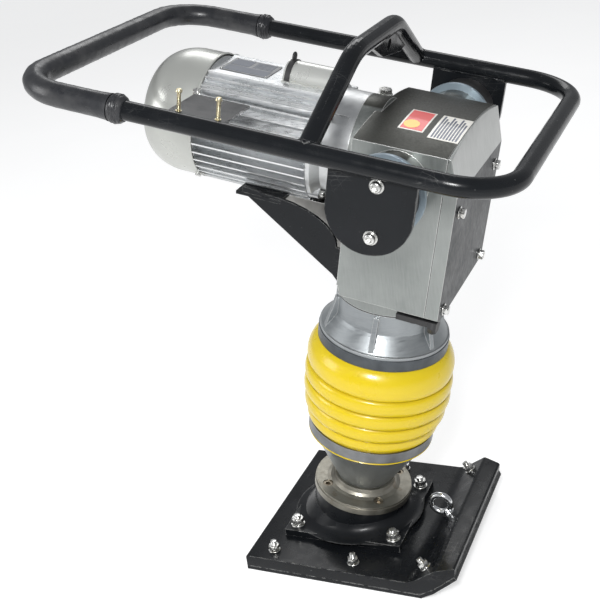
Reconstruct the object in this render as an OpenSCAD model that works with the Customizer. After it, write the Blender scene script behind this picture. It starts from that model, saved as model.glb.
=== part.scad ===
// Electric tamping rammer. The row frame has +X to the front, +Z up and its
// origin at the centre of the sole. Everything above the foot is drawn in the
// leg's own frame: Z runs up the leg, X forward and Y across it.

/* [Stance] */
// Forward lean of the leg from vertical, in degrees
lean = 12.5; // [12:0.5:13]
// X of the point where the leg's axis meets the ground
leg_x = -40; // [-45:1:-35]

/* [Foot] */
// Width of the tamping foot across Y
shoe_w = 325; // [300:5:350]
// Length of the foot behind the origin
shoe_rear = 177; // [170:1:185]
// X where the sole starts to turn up
toe_x = 125; // [120:1:128]
// X of the front tip
tip_x = 180; // [176:1:184]
// Height of the underside at the tip
tip_z = 34; // [30:1:38]
// Thickness of the steel wear plate
wear_t = 7; // [5:1:9]
// Height of the flat top of the foot board
board_z = 27; // [25:1:30]

/* [Leg] */
// Outer radius of the spring cylinder that the guide slides on
cyl_r = 40; // [38:1:41]
// Height of the base flange's top along the leg
flange_w = 100; // [98:1:102]
// Radius of the base flange
flange_r = 82; // [80:1:84]
// Radius of the bellows cuffs
cuff_r = 100; // [98:1:101]

/* [Crankcase] */
// Half width of the crankcase across Y
case_hw = 125; // [122:1:127]
// Height of the crankcase floor along the leg
case_w0 = 497; // [495:1:499]
// Height of the crowned top at its sides
case_w1 = 744; // [742:1:746]
// X of the crankcase's rear wall
case_rear = -45; // [-46:1:-44]
// X of the front cover's outer face
cover_front = 108; // [107:1:110]

/* [Drive] */
// Height of the motor axis along the leg
motor_w = 683; // [683:1:683]
// Gear module
gear_m = 2.5; // [2.5:0.5:2.5]
// Teeth on the motor pinion
pinion_z = 14; // [14:1:14]
// Teeth on the drive gear
gear_z = 60; // [60:1:60]
// Crank throw, half of the stroke
crank_r = 30; // [28:1:31]
// Connecting rod length between centres
rod_len = 110; // [110:1:112]
// Outer radius of the motor's fins and fan cowl
motor_r = 94; // [92:1:95]

/* [Handle] */
// Height of the handle loop along the leg
handle_w = 758; // [756:1:762]
// Half width of the handle loop between tube centres
handle_hw = 238; // [236:1:242]
// X of the rear grip bar's centre
handle_rear = -498; // [-505:1:-490]
// X of the front bar's centre
handle_front = 192; // [188:1:196]
// Outer radius of the frame tube
tube_r = 13.45; // [13:0.05:13.5]

/* [Hidden] */
$fn = 96;

eps = 0.01;
slide_gap = 0.05;              // running clearance of a shaft in its bore
gear_w = motor_w - gear_m*(gear_z + pinion_z)/2;
pin_w = gear_w - crank_r;      // crank pin height, at bottom dead centre
wrist_w = pin_w - rod_len;     // wrist pin height at rest
pad_h = 83;                    // motor's flat pad above its axis
mount_u = 22;                  // handle mounts, along the leg's X
mount_w = 695;                 // handle mounts, up the leg
disc_v = 172;                  // outer face of the isolator discs
plate_v0 = 226;                // inner face of the side plates
plate_t = 8;
bearing_r = 26;
journal_r = 12.5;
hub_w = 462;                   // joint between guide and crankcase
crown_r = 650;
crown_rise = 12;
board_len_top = 108;           // X where the board's top turns up
lip_x = 148;                   // X where the board's top levels out again
lip_z = 56;
foot_bolt_x = [-135, 5];
foot_bolt_y = 137;
toe_mid = [(board_len_top + lip_x)/2, (board_z + lip_z)/2];
toe_angle = atan2(lip_z - board_z, lip_x - board_len_top);
toe_depth = 32;                // depth of the toe bolts' heads below the slope

// ---------- frames and fasteners ----------

module on_leg() {
  translate([leg_x, 0, 0]) rotate([0, lean, 0]) children();
}

// Z of the children runs forward along the motor axis
module on_motor(u) {
  on_leg() translate([u, 0, motor_w]) rotate([0, 90, 0]) rotate([0, 0, 180]) children();
}

module along_u(u, v, w) {
  translate([u, v, w]) rotate([0, 90, 0]) children();
}

module on_sides() {
  children();
  mirror([0, 1, 0]) children();
}

module ring(ro, ri, h) {
  difference() {
    cylinder(r = ro, h = h);
    translate([0, 0, -1]) cylinder(r = ri, h = h + 2);
  }
}

module hex(af, h) {
  cylinder(r = af/sqrt(3), h = h, $fn = 6);
}

// A hexagon screw along -Z with its washer under the head at Z = 0
module hex_screw(d, len, af, head, washer_r) {
  translate([0, 0, -len]) cylinder(d = d, h = len + 1, $fn = 32);
  cylinder(r = washer_r, h = 1.6, $fn = 48);
  translate([0, 0, 1.6]) hex(af, head);
}

// A countersunk foot bolt: the head is flush with the sole, the nut on top
module foot_bolt(d, top, af, nut_h, washer_r, tail) {
  cylinder(d1 = d*2, d2 = d, h = d*0.5, $fn = 48);
  cylinder(d = d, h = top + 2 + nut_h + tail, $fn = 48);
  translate([0, 0, top]) ring(washer_r, d/2, 2);
  translate([0, 0, top + 2]) difference() {
    hex(af, nut_h);
    translate([0, 0, -1]) cylinder(d = d, h = nut_h + 2, $fn = 48);
  }
}

module foot_bolt_hole(d) {
  translate([0, 0, -1]) cylinder(d = d + 0.4, h = 80, $fn = 48);
  translate([0, 0, -4]) cylinder(d = d*2 + 0.4, h = 4, $fn = 48);
  cylinder(d1 = d*2 + 0.4, d2 = d + 0.4, h = d*0.5, $fn = 48);
}

// ---------- foot ----------

toe_len = norm([tip_x - toe_x, tip_z]);
sole_angle = atan2(tip_z, tip_x - toe_x);

// Underside of the sole, raised by t square to itself
function sole_line(t) = [
  [-shoe_rear, t],
  [toe_x - t*tan(sole_angle/2), t],
  [tip_x - t*sin(sole_angle), tip_z + t*cos(sole_angle)]];

module foot_slab(points) {
  intersection() {
    rotate([90, 0, 0]) linear_extrude(shoe_w, center = true) polygon(points);
    linear_extrude(100) polygon([
      [-shoe_rear - 1, -shoe_w/2], [tip_x - 34, -shoe_w/2], [tip_x + 1, -shoe_w/2 + 16],
      [tip_x + 1, shoe_w/2 - 16], [tip_x - 34, shoe_w/2], [-shoe_rear - 1, shoe_w/2]]);
  }
}

// Places the children at the sole under every flat board bolt
module at_flat_bolts() {
  for (s = [-1, 1]) for (x = foot_bolt_x) translate([x, s*foot_bolt_y, 0]) children();
}

// The same for the two bolts through the toe, Z square to the toe's slope
module at_toe_bolts() {
  for (s = [-1, 1]) translate([toe_mid[0], s*foot_bolt_y, toe_mid[1]]) rotate([0, -toe_angle, 0])
    translate([0, 0, -toe_depth]) children();
}

module board_holes() {
  at_flat_bolts() foot_bolt_hole(10);
  at_toe_bolts() foot_bolt_hole(10);
}

module at_socket_bolts() {
  for (x = [-1, 1]) for (y = [-1, 1]) translate([-31 + x*85, y*76, 0]) children();
}

module wear_plate() {
  lower = sole_line(0);
  upper = sole_line(wear_t);
  color("dimgray") difference() {
    foot_slab(concat(lower, [for (i = [2:-1:0]) upper[i]]));
    board_holes();
    at_socket_bolts() foot_bolt_hole(12);
  }
}

module foot_board() {
  lower = sole_line(wear_t);
  color([0.12, 0.12, 0.13]) difference() {
    foot_slab(concat(lower, [
      [tip_x - 1, lip_z], [lip_x, lip_z], [board_len_top, board_z], [-shoe_rear, board_z]]));
    board_holes();
    at_socket_bolts() foot_bolt_hole(12);
    eye_place() translate([0, 0, -22]) cylinder(r = 5.2, h = 40, $fn = 48);
  }
}

module foot_bolts() {
  color("silver") {
    at_flat_bolts() foot_bolt(10, board_z, 17, 8, 10, 9);
    at_toe_bolts() foot_bolt(10, toe_depth, 17, 8, 10, 9);
  }
}

socket_t = 12;
socket_top = 86;
socket_hole_r = 50;

module socket_base() {
  color([0.1, 0.1, 0.11]) difference() {
    intersection() {
      union() {
        translate([-31 - 102, -95, board_z]) cube([204, 190, socket_t]);
        on_leg() cylinder(r = 79, h = socket_top);
        on_leg() translate([0, 0, 28]) cylinder(r1 = 92, r2 = 79, h = 26);
      }
      translate([-200, -200, board_z]) cube([400, 400, 200]);
    }
    at_socket_bolts() translate([0, 0, board_z - 1]) cylinder(d = 13, h = 60, $fn = 48);
    on_leg() translate([0, 0, socket_top - 34]) cylinder(r = socket_hole_r, h = 60);
    at_flange_screws(socket_top - 24) cylinder(d = 10, h = 40, $fn = 48);
  }
}

module socket_bolts() {
  color("silver") at_socket_bolts() foot_bolt(12, board_z + socket_t, 19, 10, 12, 7);
}

module eye_place() {
  translate([toe_mid[0], 4, toe_mid[1]]) rotate([0, -toe_angle, 0]) children();
}

module eye_bolt() {
  color("gainsboro") eye_place() {
    translate([0, 0, -20]) cylinder(d = 10, h = 21, $fn = 48);
    cylinder(r = 11, h = 5, $fn = 64);
    translate([0, 0, 4]) cylinder(r1 = 9, r2 = 5.5, h = 8, $fn = 64);
    translate([0, 0, 25]) rotate([90, 0, 0]) rotate_extrude() translate([16.5, 0]) circle(r = 4.8, $fn = 32);
  }
}

// ---------- lower leg ----------

screw_pcd_r = 65;
cone_w0 = flange_w + 12;
cone_w1 = 204;

module at_flange_screws(w) {
  on_leg() for (i = [0:3]) rotate([0, 0, 42 + 90*i]) translate([screw_pcd_r, 0, w]) children();
}

module base_flange() {
  color([0.62, 0.58, 0.48]) difference() {
    on_leg() rotate_extrude() polygon([
      [0, socket_top], [flange_r, socket_top], [flange_r, flange_w - 4], [flange_r - 1, flange_w - 4],
      [flange_r - 1, flange_w], [62, flange_w], [56, flange_w + 2], [52, flange_w + 6],
      [50, cone_w0], [0, cone_w0]]);
    on_leg() translate([0, 0, flange_w - 10]) cylinder(r = cyl_r, h = 30);
    at_flange_screws(socket_top - 1) cylinder(d = 10.4, h = 30, $fn = 48);
    at_flange_screws(flange_w - 9) cylinder(r = 8.5, h = 20, $fn = 48);
  }
}

module flange_screws() {
  color("gray") difference() {
    union() {
      at_flange_screws(socket_top - 22) cylinder(d = 10, h = 28, $fn = 48);
      at_flange_screws(flange_w - 9) cylinder(r = 8, h = 8, $fn = 48);
    }
    at_flange_screws(flange_w - 6) hex(8, 10);
  }
}

// Cast cone with the lower bellows seat at its top
module leg_cone() {
  color([0.5, 0.52, 0.52]) on_leg() rotate_extrude() polygon([
    [cyl_r, cone_w0], [45, cone_w0], [cuff_r - 4, cone_w1 - 1], [cuff_r - 3, cone_w1 + 1],
    [cuff_r - 3, 228], [cuff_r - 7, 228], [cuff_r - 7, cone_w1 + 8], [cyl_r, cone_w1 + 8],
    [cyl_r, cone_w1 + 1], [cuff_r - 12, cone_w1 + 1], [cyl_r + 1, cone_w0 + 12], [cyl_r, cone_w0 + 12]]);
}

cyl_w1 = 392;
cyl_bore = 34;

module spring_cylinder() {
  color("silver") on_leg() translate([0, 0, flange_w - 10]) difference() {
    cylinder(r = cyl_r, h = cyl_w1 - flange_w + 10);
    translate([0, 0, 6]) cylinder(r = cyl_bore, h = 400);
  }
}

module cylinder_cap() {
  color("gray") on_leg() difference() {
    union() {
      translate([0, 0, cyl_w1]) cylinder(r = cyl_r, h = 10);
      translate([0, 0, cyl_w1 - 6]) cylinder(r = cyl_bore, h = 7);
    }
    translate([0, 0, cyl_w1 - 10]) cylinder(r = 14 + slide_gap, h = 30);
  }
}

// Skins rings of points, each with the same number of sides, into a closed bar
module skin(rings, sides) {
  last = len(rings) - 1;
  walls = [for (i = [0:last - 1]) for (k = [0:sides - 1])
    let (a = i*sides + k, b = i*sides + (k + 1)%sides) [a, b, b + sides, a + sides]];
  polyhedron([for (p = rings) each p], concat([[for (k = [sides - 1:-1:0]) k]], walls,
    [[for (k = [0:sides - 1]) last*sides + k]]), convexity = 8);
}

// Helical spring from w0 to w1: mean radius r, wire radius t
module coil_spring(w0, w1, r, t, turns) {
  sides = 6;
  steps = turns*16;
  rise = w1 - w0 - 2*t;
  rings = [for (i = [0:steps]) let (a = 360*turns*i/steps, z = w0 + t + rise*i/steps)
    [for (k = [0:sides - 1]) let (q = 360*k/sides)
      [(r + t*cos(q))*cos(a), (r + t*cos(q))*sin(a), z + t*sin(q)]]];
  skin(rings, sides);
}

piston_w0 = 246;
piston_h = 16;

module spring_nest(w0, w1) {
  on_leg() coil_spring(w0, w1, 28, 4.5, 7);
  on_leg() coil_spring(w0, w1, 18, 2.8, 9);
}

module lower_springs() {
  color("goldenrod") spring_nest(flange_w - 4, piston_w0);
}

module upper_springs() {
  color("goldenrod") spring_nest(piston_w0 + piston_h, cyl_w1 - 6);
}

stop_w0 = cone_w1 + 8;
guide_w0 = 250;

module bump_stop() {
  color([0.1, 0.1, 0.1]) on_leg() translate([0, 0, stop_w0]) ring(56, cyl_r + 1, guide_w0 - stop_w0);
}

cuff_w0 = 209;
cuff_h = 18;
cuff2_w1 = 399;

module lower_clamp() {
  color("gray") on_leg() translate([0, 0, cuff_w0]) ring(cuff_r + 2.6, cuff_r, cuff_h);
}

module upper_clamp() {
  color("slategray") on_leg() translate([0, 0, cuff2_w1 - cuff_h]) ring(cuff_r + 2.6, cuff_r, cuff_h);
}

// Bellows folds from the bottom: height of each fold and its crest radius
folds = [[19, 108], [27.5, 114], [27.5, 117], [28.5, 118], [50, 118]];
fold_start = cuff_w0 + cuff_h + 1;
groove_r = 106;
function fold_base(i) = i == 0 ? fold_start : fold_base(i - 1) + folds[i - 1][0];
function fold_groove(i) = i == 0 || i == len(folds) ? cuff_r : groove_r + min(4, i*1.5);
function fold_foot(i, q) = fold_groove(i)*(1 - q) + fold_groove(i + 1)*q;
function fold_r(i, q) = fold_foot(i, q) + (folds[i][1] - fold_foot(i, q))*sqrt(1 - pow(2*q - 1, 2));
function fold_points(i, inset) = [for (k = [0:8])
  [fold_r(i, k/8) - inset, fold_base(i) + folds[i][0]*k/8]];
function bellows_side(inset) = [for (i = [0:len(folds) - 1]) each fold_points(i, inset)];

module bellows() {
  wall = 3;
  gap = 0.3;                   // keeps the upper cuff off the guide that moves
  inner = bellows_side(wall);
  color("gold") on_leg() rotate_extrude() polygon(concat(
    [[cuff_r - wall, cuff_w0], [cuff_r, cuff_w0]], bellows_side(0),
    [[cuff_r - gap, cuff2_w1 - cuff_h], [cuff_r - gap, cuff2_w1 - gap],
     [cuff_r - wall + gap, cuff2_w1 - gap], [cuff_r - wall + gap, cuff2_w1 - cuff_h - 2]],
    [for (i = [len(inner) - 2:-1:0]) inner[i]]));
}

// ---------- plunger ----------

fork_half = 14;
fork_gap = 6.5;
fork_drop = 20;                // depth of the fork below its pin
slot_drop = 15;                // depth of its slot below the pin

module plunger_rod() {
  color("silver") on_leg() difference() {
    union() {
      translate([0, 0, piston_w0 + piston_h]) cylinder(r = 14, h = wrist_w - fork_drop + 1 - piston_w0 - piston_h);
      translate([0, 0, piston_w0]) cylinder(r = 9, h = piston_h + 1);
      translate([-fork_half, -fork_half, wrist_w - fork_drop]) cube([2*fork_half, 2*fork_half, fork_drop + 16]);
    }
    translate([-fork_gap, -30, wrist_w - slot_drop]) cube([2*fork_gap, 60, 60]);
    along_u(-30, 0, wrist_w) cylinder(r = 7 + slide_gap, h = 60, $fn = 64);
  }
}

module piston() {
  color("gray") on_leg() translate([0, 0, piston_w0]) ring(cyl_bore - slide_gap, 9, piston_h);
}

// ---------- guide and crankcase ----------

drum_r = 80;
rim_w = 404;
bore_r = 52;

module guide_cylinder() {
  color([0.66, 0.68, 0.7]) on_leg() difference() {
    guide_body();
    translate([0, 0, hub_w - 22]) at_hub_bolts() cylinder(r = 4, h = 40, $fn = 32);
  }
}

module guide_body() {
  union() {
    rotate_extrude() polygon([
      [46, guide_w0], [54, guide_w0], [54, rim_w - 24], [cuff_r - 7, rim_w - 24],
      [cuff_r - 3, rim_w - 24], [cuff_r - 3, cuff2_w1], [cuff_r + 1.6, cuff2_w1], [cuff_r + 1.6, rim_w],
      [cuff_r - 1, rim_w + 1], [drum_r + 4, rim_w + 21], [drum_r + 1, rim_w + 26], [drum_r, rim_w + 32],
      [drum_r, hub_w], [bore_r, hub_w], [bore_r, rim_w + 4], [42, rim_w - 6],
      [42, guide_w0 + 50], [46, guide_w0 + 50]]);
    for (i = [0:5]) rotate([0, 0, -84 + 60*i]) rotate([90, 0, 0]) linear_extrude(8, center = true)
      polygon([[drum_r - 2, rim_w + 1], [cuff_r - 2, rim_w + 1], [cuff_r - 3, rim_w + 6],
        [drum_r + 6, hub_w - 12], [drum_r + 4, hub_w - 3], [drum_r - 2, hub_w - 3]]);
  }
}

module guide_bush() {
  color("peru") on_leg() translate([0, 0, guide_w0]) ring(46, cyl_r + slide_gap, 50);
}

gasket_t = 1.5;
hub_r = 80;

module hub_gasket() {
  color([0.08, 0.08, 0.08]) on_leg() translate([0, 0, hub_w]) difference() {
    ring(hub_r, bore_r, gasket_t);
    translate([0, 0, -5]) at_hub_bolts() cylinder(r = 4.2, h = 20, $fn = 32);
  }
}

hub_bolt_r = 69;
hub_bolt_angles = [30, 90, 150, 210, 270, 330];

module at_hub_bolts() {
  for (a = hub_bolt_angles) rotate([0, 0, a]) translate([hub_bolt_r, 0, 0]) children();
}

// The two rear bolts sit on the flange outside the case, the others on its floor
module hub_bolts() {
  color("silver") on_leg() for (a = hub_bolt_angles)
    rotate([0, 0, a]) translate([hub_bolt_r, 0, cos(a) < -0.5 ? case_w0 : case_w0 + wall_t])
      hex_screw(8, 54, 13, 5.5, 8.5);
}

module crown(u0, u1) {
  translate([u0, 0, case_w1 + crown_rise - crown_r]) rotate([0, 90, 0])
    cylinder(r = crown_r, h = u1 - u0, $fn = 180);
}

wall_t = 8;
breather_u = -54;
breather_v = 34;
breather_w = motor_w + 72.5;
cavity_w1 = 734;
post_v = 99;
post_w = [512, 663];

module case_cavity(u0, u1) {
  difference() {
    translate([u0, -case_hw + wall_t, case_w0 + wall_t])
      cube([u1 - u0, 2*(case_hw - wall_t), cavity_w1 - case_w0 - wall_t]);
    for (s = [-1, 1]) for (w = post_w) translate([u0 - 1, s > 0 ? post_v - 9 : -case_hw, w - 9])
      cube([u1 - u0 + 2, case_hw - post_v + 9, 18]);
  }
}

// Outline of the case across the leg, with its lower edges cut back to the hub
module case_section(u0, u1) {
  intersection() {
    translate([u0, 0, 0]) rotate([90, 0, 90]) linear_extrude(u1 - u0) polygon([
      [-case_hw, 800], [-case_hw, case_w0 + 8], [15 - case_hw, case_w0],
      [case_hw - 15, case_w0], [case_hw, case_w0 + 8], [case_hw, 800]]);
    crown(u0 - 1, u1 + 1);
  }
}

module at_posts() {
  for (s = [-1, 1]) for (w = post_w) along_u(0, s*post_v, w) children();
}

module crankcase() {
  front = 88;
  color([0.72, 0.73, 0.71]) on_leg() difference() {
    union() {
      case_section(case_rear, front);
      translate([0, 0, hub_w + gasket_t]) cylinder(r = hub_r, h = case_w0 - hub_w - gasket_t);
      along_u(-66, 0, motor_w) cylinder(r = 80, h = 30);
      along_u(-56, 0, gear_w) cylinder(r = 36, h = 22);
      at_isolators(case_hw - 4) cylinder(r = 46, h = disc_v - 6 - case_hw + 4);
    }
    difference() {
      case_cavity(case_rear + 10, front + 1);
      along_u(case_rear, 0, gear_w) cylinder(r = 36, h = 12);
    }
    translate([0, 0, hub_w - 1]) cylinder(r = bore_r, h = 60);
    translate([0, 0, hub_w - 1]) at_hub_bolts() cylinder(r = 4.2, h = 60, $fn = 32);
    along_u(-48, 0, gear_w) cylinder(r = bearing_r, h = 16);
    along_u(-67, 0, motor_w) cylinder(r = 20, h = 14);
    along_u(-70, 0, motor_w) cylinder(r = 15, h = 60);
    for (s = [-1, 1]) translate([case_rear + 8, s > 0 ? 99 : -139, case_w0 - 1]) rotate([0, -15, 0])
      translate([-40, 0, -20]) cube([40, 40, 48]);
    at_posts() translate([0, 0, 60]) cylinder(r = 4, h = 40, $fn = 32);
    at_isolators(disc_v - 26) cylinder(r = 8, h = 30, $fn = 48);
    at_bracket_bolts() translate([0, 0, -5]) cylinder(r = 5, h = 40, $fn = 32);
    translate([breather_u, breather_v, breather_w - 16]) cylinder(r = 7, h = 40, $fn = 32);
    translate([breather_u, breather_v, breather_w]) cylinder(r = 11.5, h = 20, $fn = 48);
  }
}

module front_gasket() {
  color([0.08, 0.08, 0.08]) on_leg() difference() {
    case_section(88, 88.8);
    case_cavity(80, 100);
    at_posts() translate([0, 0, 60]) cylinder(r = 4.2, h = 60, $fn = 32);
  }
}

bevel_w = 692;                 // height where the cover's front starts to slope back
bevel_u = 90;                  // where that slope reaches the crown

module front_cover() {
  color([0.4, 0.42, 0.43]) on_leg() difference() {
    union() {
      intersection() {
        rotate([90, 0, 0]) linear_extrude(2*case_hw, center = true) polygon([
          [88.8, case_w0], [cover_front, case_w0], [cover_front, bevel_w],
          [bevel_u, case_w1 + crown_rise], [88.8, case_w1 + crown_rise]]);
        case_section(80, 120);
      }
      along_u(32, 0, gear_w) cylinder(r = 36, h = 66);
    }
    difference() {
      case_cavity(80, 98);
      along_u(30, 0, gear_w) cylinder(r = 36, h = 70);
      translate([80, -200, 684]) cube([30, 400, 100]);
    }
    along_u(31, 0, gear_w) cylinder(r = bearing_r, h = 17);
    along_u(40, 0, gear_w) cylinder(r = 15, h = 14);
    at_posts() translate([0, 0, 80]) cylinder(r = 4.2, h = 60, $fn = 32);
  }
}

module cover_bolts() {
  color("silver") on_leg() at_posts() translate([0, 0, cover_front]) hex_screw(8, 44, 13, 7, 9);
}

module ball_bearing() {
  difference() {
    ring(bearing_r, journal_r, 15);
    for (z = [-1, 14]) translate([0, 0, z]) ring(23, 16, 2);
  }
}

module ball_bearings() {
  color("lightgray") {
    on_leg() along_u(-48, 0, gear_w) ball_bearing();
    on_leg() along_u(33, 0, gear_w) ball_bearing();
    on_motor(-112) ball_bearing();
    on_motor(-314) ball_bearing();
  }
}

module shaft_seal() {
  color("saddlebrown") on_motor(-64) ring(20, journal_r + 0.02, 9);
}

module breather_plug() {
  color("silver") on_leg() translate([breather_u, breather_v, breather_w]) {
    translate([0, 0, -14]) cylinder(r = 7, h = 15, $fn = 32);
    cylinder(r = 11, h = 3, $fn = 48);
    translate([0, 0, 3]) hex(17, 7);
  }
}

// ---------- gear train ----------

function involute(rb, t) = [rb*(cos(t) + t*PI/180*sin(t)), rb*(sin(t) - t*PI/180*cos(t))];
function roll(rb, r) = r <= rb ? 0 : sqrt(pow(r/rb, 2) - 1)*180/PI;
function turned(p, a) = [p[0]*cos(a) - p[1]*sin(a), p[0]*sin(a) + p[1]*cos(a)];
function flank_angle(rb, r) = roll(rb, r) - acos(min(1, rb/r));

// Outline of a 20 degree stub gear with a tooth centred on angle 0
module gear_shape(z, backlash) {
  rp = gear_m*z/2;
  rb = rp*cos(20);
  ra = rp + 0.8*gear_m;
  rf = rp - gear_m;
  r0 = max(rb, rf);
  half = 90/z - backlash/rp*90/PI + flank_angle(rb, rp);
  radii = [r0, (r0 + rp)/2, rp, (rp + ra)/2, ra];
  flank = [for (r = radii) let (a = flank_angle(rb, r) - half) [r*cos(a), r*sin(a)]];
  foot = [rf*cos(half), -rf*sin(half)];
  side = concat([foot], flank);
  polygon([for (i = [0:z - 1]) each concat(
    [for (p = side) turned(p, 360*i/z)],
    [for (k = [len(side) - 1:-1:0]) turned([side[k][0], -side[k][1]], 360*i/z)])]);
}

gear_u = -32;
gear_h = 19;

module drive_gear() {
  color("darkgray") on_leg() difference() {
    along_u(gear_u, 0, gear_w) linear_extrude(gear_h) gear_shape(gear_z, 0.25);
    along_u(gear_u - 1, 0, gear_w) cylinder(r = journal_r, h = 30);
    along_u(gear_u - 1, 0, pin_w) cylinder(r = 11, h = 30);
    along_u(gear_u + 14, 0, gear_w) intersection() {
      difference() {
        cylinder(r = 64, h = 10);
        translate([0, 0, -1]) cylinder(r = 46, h = 20);
      }
      cylinder(r = 66, h = 10);
    }
  }
}

module gear_shaft() {
  color("silver") on_leg() along_u(gear_u - 15, 0, gear_w) {
    cylinder(r = journal_r - slide_gap, h = 15);
    translate([0, 0, 15]) cylinder(r = journal_r, h = gear_h);
  }
}

module crankshaft() {
  color("silver") on_leg() {
    along_u(gear_u, 0, pin_w) cylinder(r = 11, h = 12 - gear_u + 1);
    along_u(12, 0, gear_w) cylinder(r = 45, h = 10);
    along_u(12, 0, gear_w) cylinder(r = journal_r - slide_gap, h = 37);
  }
}

module connecting_rod() {
  color("gray") on_leg() difference() {
    union() {
      along_u(-12.5, 0, pin_w) cylinder(r = 21, h = 24);
      along_u(-6, 0, wrist_w) cylinder(r = 14, h = 12);
      translate([-6, -9, wrist_w]) cube([12, 18, rod_len]);
    }
    along_u(-30, 0, pin_w) cylinder(r = 11 + slide_gap, h = 60);
    along_u(-30, 0, wrist_w) cylinder(r = 7, h = 60, $fn = 64);
  }
}

module wrist_pin() {
  color("lightgray") on_leg() along_u(-6, 0, wrist_w) cylinder(r = 7, h = 12, $fn = 64);
}

// ---------- motor ----------

module motor_shaft() {
  color("silver") {
    on_motor(-352) cylinder(r = journal_r - slide_gap, h = 315);
    on_motor(-288) cylinder(r = 14, h = 166);
    on_motor(-38) cylinder(r = 10, h = 27);
  }
}

module rotor_core() {
  color("dimgray") on_motor(-262) ring(42, 14, 102);
}

// The pinion has a tooth gap facing the drive gear's tooth
module pinion() {
  color("gray") on_leg() difference() {
    along_u(gear_u + 1, 0, motor_w) rotate([0, 0, 180/pinion_z]) linear_extrude(gear_h - 2)
      gear_shape(pinion_z, 0.25);
    along_u(gear_u - 5, 0, motor_w) cylinder(r = 10, h = 40);
  }
}

module cooling_fan() {
  color([0.15, 0.15, 0.16]) on_motor(-350) difference() {
    union() {
      cylinder(r = 18, h = 24);
      translate([0, 0, 21]) cylinder(r = 74, h = 3);
      for (i = [0:7]) rotate([0, 0, 45*i]) translate([14, -1.5, 2]) cube([58, 3, 20]);
    }
    translate([0, 0, -1]) cylinder(r = journal_r - slide_gap, h = 40);
  }
}

module stator_core() {
  color("dimgray") on_motor(-262) difference() {
    ring(66, 42.5, 102);
    for (i = [0:23]) rotate([0, 0, 15*i]) translate([46, -2.2, -1]) cube([13, 4.4, 110]);
  }
}

module stator_windings() {
  color("chocolate") {
    for (u = [-286, -160]) on_motor(u) ring(62, 46, 24);
    on_motor(-262) for (i = [0:23]) rotate([0, 0, 15*i]) translate([46.2, -2, 0]) cube([12.6, 4, 102]);
  }
}

frame_u0 = -300;
frame_u1 = -122;
fin_pitch = 9;

module fin_outline() {
  difference() {
    union() {
      circle(r = 75);
      for (i = [0:39]) if (abs(i*fin_pitch - 180) > 30) rotate(i*fin_pitch)
        translate([-motor_r, -1.4]) square([motor_r - 70, 2.8]);
      translate([50, -46]) square([pad_h - 50, 92]);
      for (i = [0:3]) rotate(45 + 90*i) translate([83, 0]) circle(r = 7);
      for (s = [-1, 1]) for (h = [56, 64]) translate([h, s > 0 ? 40 : -104 + h*0.7]) square([4, 64 - h*0.7]);
    }
    circle(r = 66);
  }
}

module motor_frame() {
  color([0.78, 0.79, 0.8]) difference() {
    on_motor(frame_u0) linear_extrude(frame_u1 - frame_u0) fin_outline();
    at_tie_bolts(frame_u1 - 12) cylinder(r = 3.2, h = 20, $fn = 32);
    on_leg() along_u(-190, 0, motor_w + pad_h + 7) cylinder(r = 15, h = 78);
  }
}

function bell(r_flange, inset) = [
  [frame_u1, 90 - inset], [frame_u1 + 6, 90 - inset], [frame_u1 + 18, r_flange - inset],
  [-66, r_flange - inset]];

module front_end_shield() {
  color([0.74, 0.75, 0.76]) difference() {
    union() {
      on_motor(0) rotate_extrude() polygon(concat(
        [for (p = bell(80, 0)) [p[1], p[0]]],
        [[30, -66], [30, -74], [72, -80], [72, -106], [82, -118], [82, frame_u1 + 1], [82, frame_u1]]));
      on_motor(-113) ring(36, bearing_r, 17);
      on_motor(-98) ring(78, 20, 5);
      at_tie_bolts(frame_u1) cylinder(r = 9, h = 17);
      on_motor(frame_u1) ring(40, bearing_r, 10);
      on_motor(-97) ring(36, 20, 24);
    }
    on_motor(-112) cylinder(r = bearing_r, h = 15);
    on_motor(-130) cylinder(r = journal_r + 2, h = 70);
    at_tie_bolts(frame_u1 - 1) cylinder(r = 3.2, h = 40, $fn = 32);
    at_tie_bolts(frame_u1 + 16) translate([-7.2, -7.2, 0]) cube([30, 14.4, 30]);
  }
}

module at_tie_bolts(u) {
  on_motor(u) for (i = [0:3]) rotate([0, 0, 45 + 90*i]) translate([83, 0, 0]) children();
}

module tie_bolts() {
  color("silver") {
    at_tie_bolts(frame_u1 + 16) hex_screw(6, 26, 10, 5, 6.5);
  }
}

module rear_end_shield() {
  color([0.74, 0.75, 0.76]) difference() {
    union() {
      on_motor(frame_u0 - 6) cylinder(r = 90, h = 6);
      on_motor(frame_u0 - 18) cylinder(r = 36, h = 26);
    }
    on_motor(frame_u0 - 14) cylinder(r = bearing_r, h = 15);
    on_motor(frame_u0 - 20) cylinder(r = journal_r + 2, h = 40);
    on_motor(frame_u0 + 0.9) cylinder(r = 30, h = 20);
    at_cowl_screws() translate([0, 0, -14]) cylinder(r = 2.5, h = 20, $fn = 32);
  }
}

dome_u = -350;                 // where the cowl starts to round over
dome_len = 56;
cowl_t = 1.6;
grille_r = 40;
function dome(inset) = [for (k = [0:12]) let (a = 65*k/12)
  [(motor_r - inset)*cos(a), dome_u - (dome_len - inset)*sin(a)]];

module fan_cowl() {
  outer = dome(0);
  inner = dome(cowl_t);
  color([0.7, 0.72, 0.7]) difference() {
    on_motor(0) rotate_extrude() polygon(concat(
      [[motor_r - cowl_t, frame_u0 - 0.5], [motor_r, frame_u0 - 0.5]], outer,
      [[0, outer[12][1]], [0, inner[12][1]]], [for (k = [12:-1:0]) inner[k]]));
    on_motor(dome_u - 60) for (r = [12, 20, 28, 36]) for (i = [0:round(r/2)])
      rotate([0, 0, i*360/(round(r/2) + 1)]) translate([r, 0, 0]) cylinder(r = 2.6, h = 20, $fn = 12);
    at_cowl_screws() translate([0, 0, -6]) cylinder(r = 2.6, h = 20, $fn = 32);
  }
}

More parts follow.
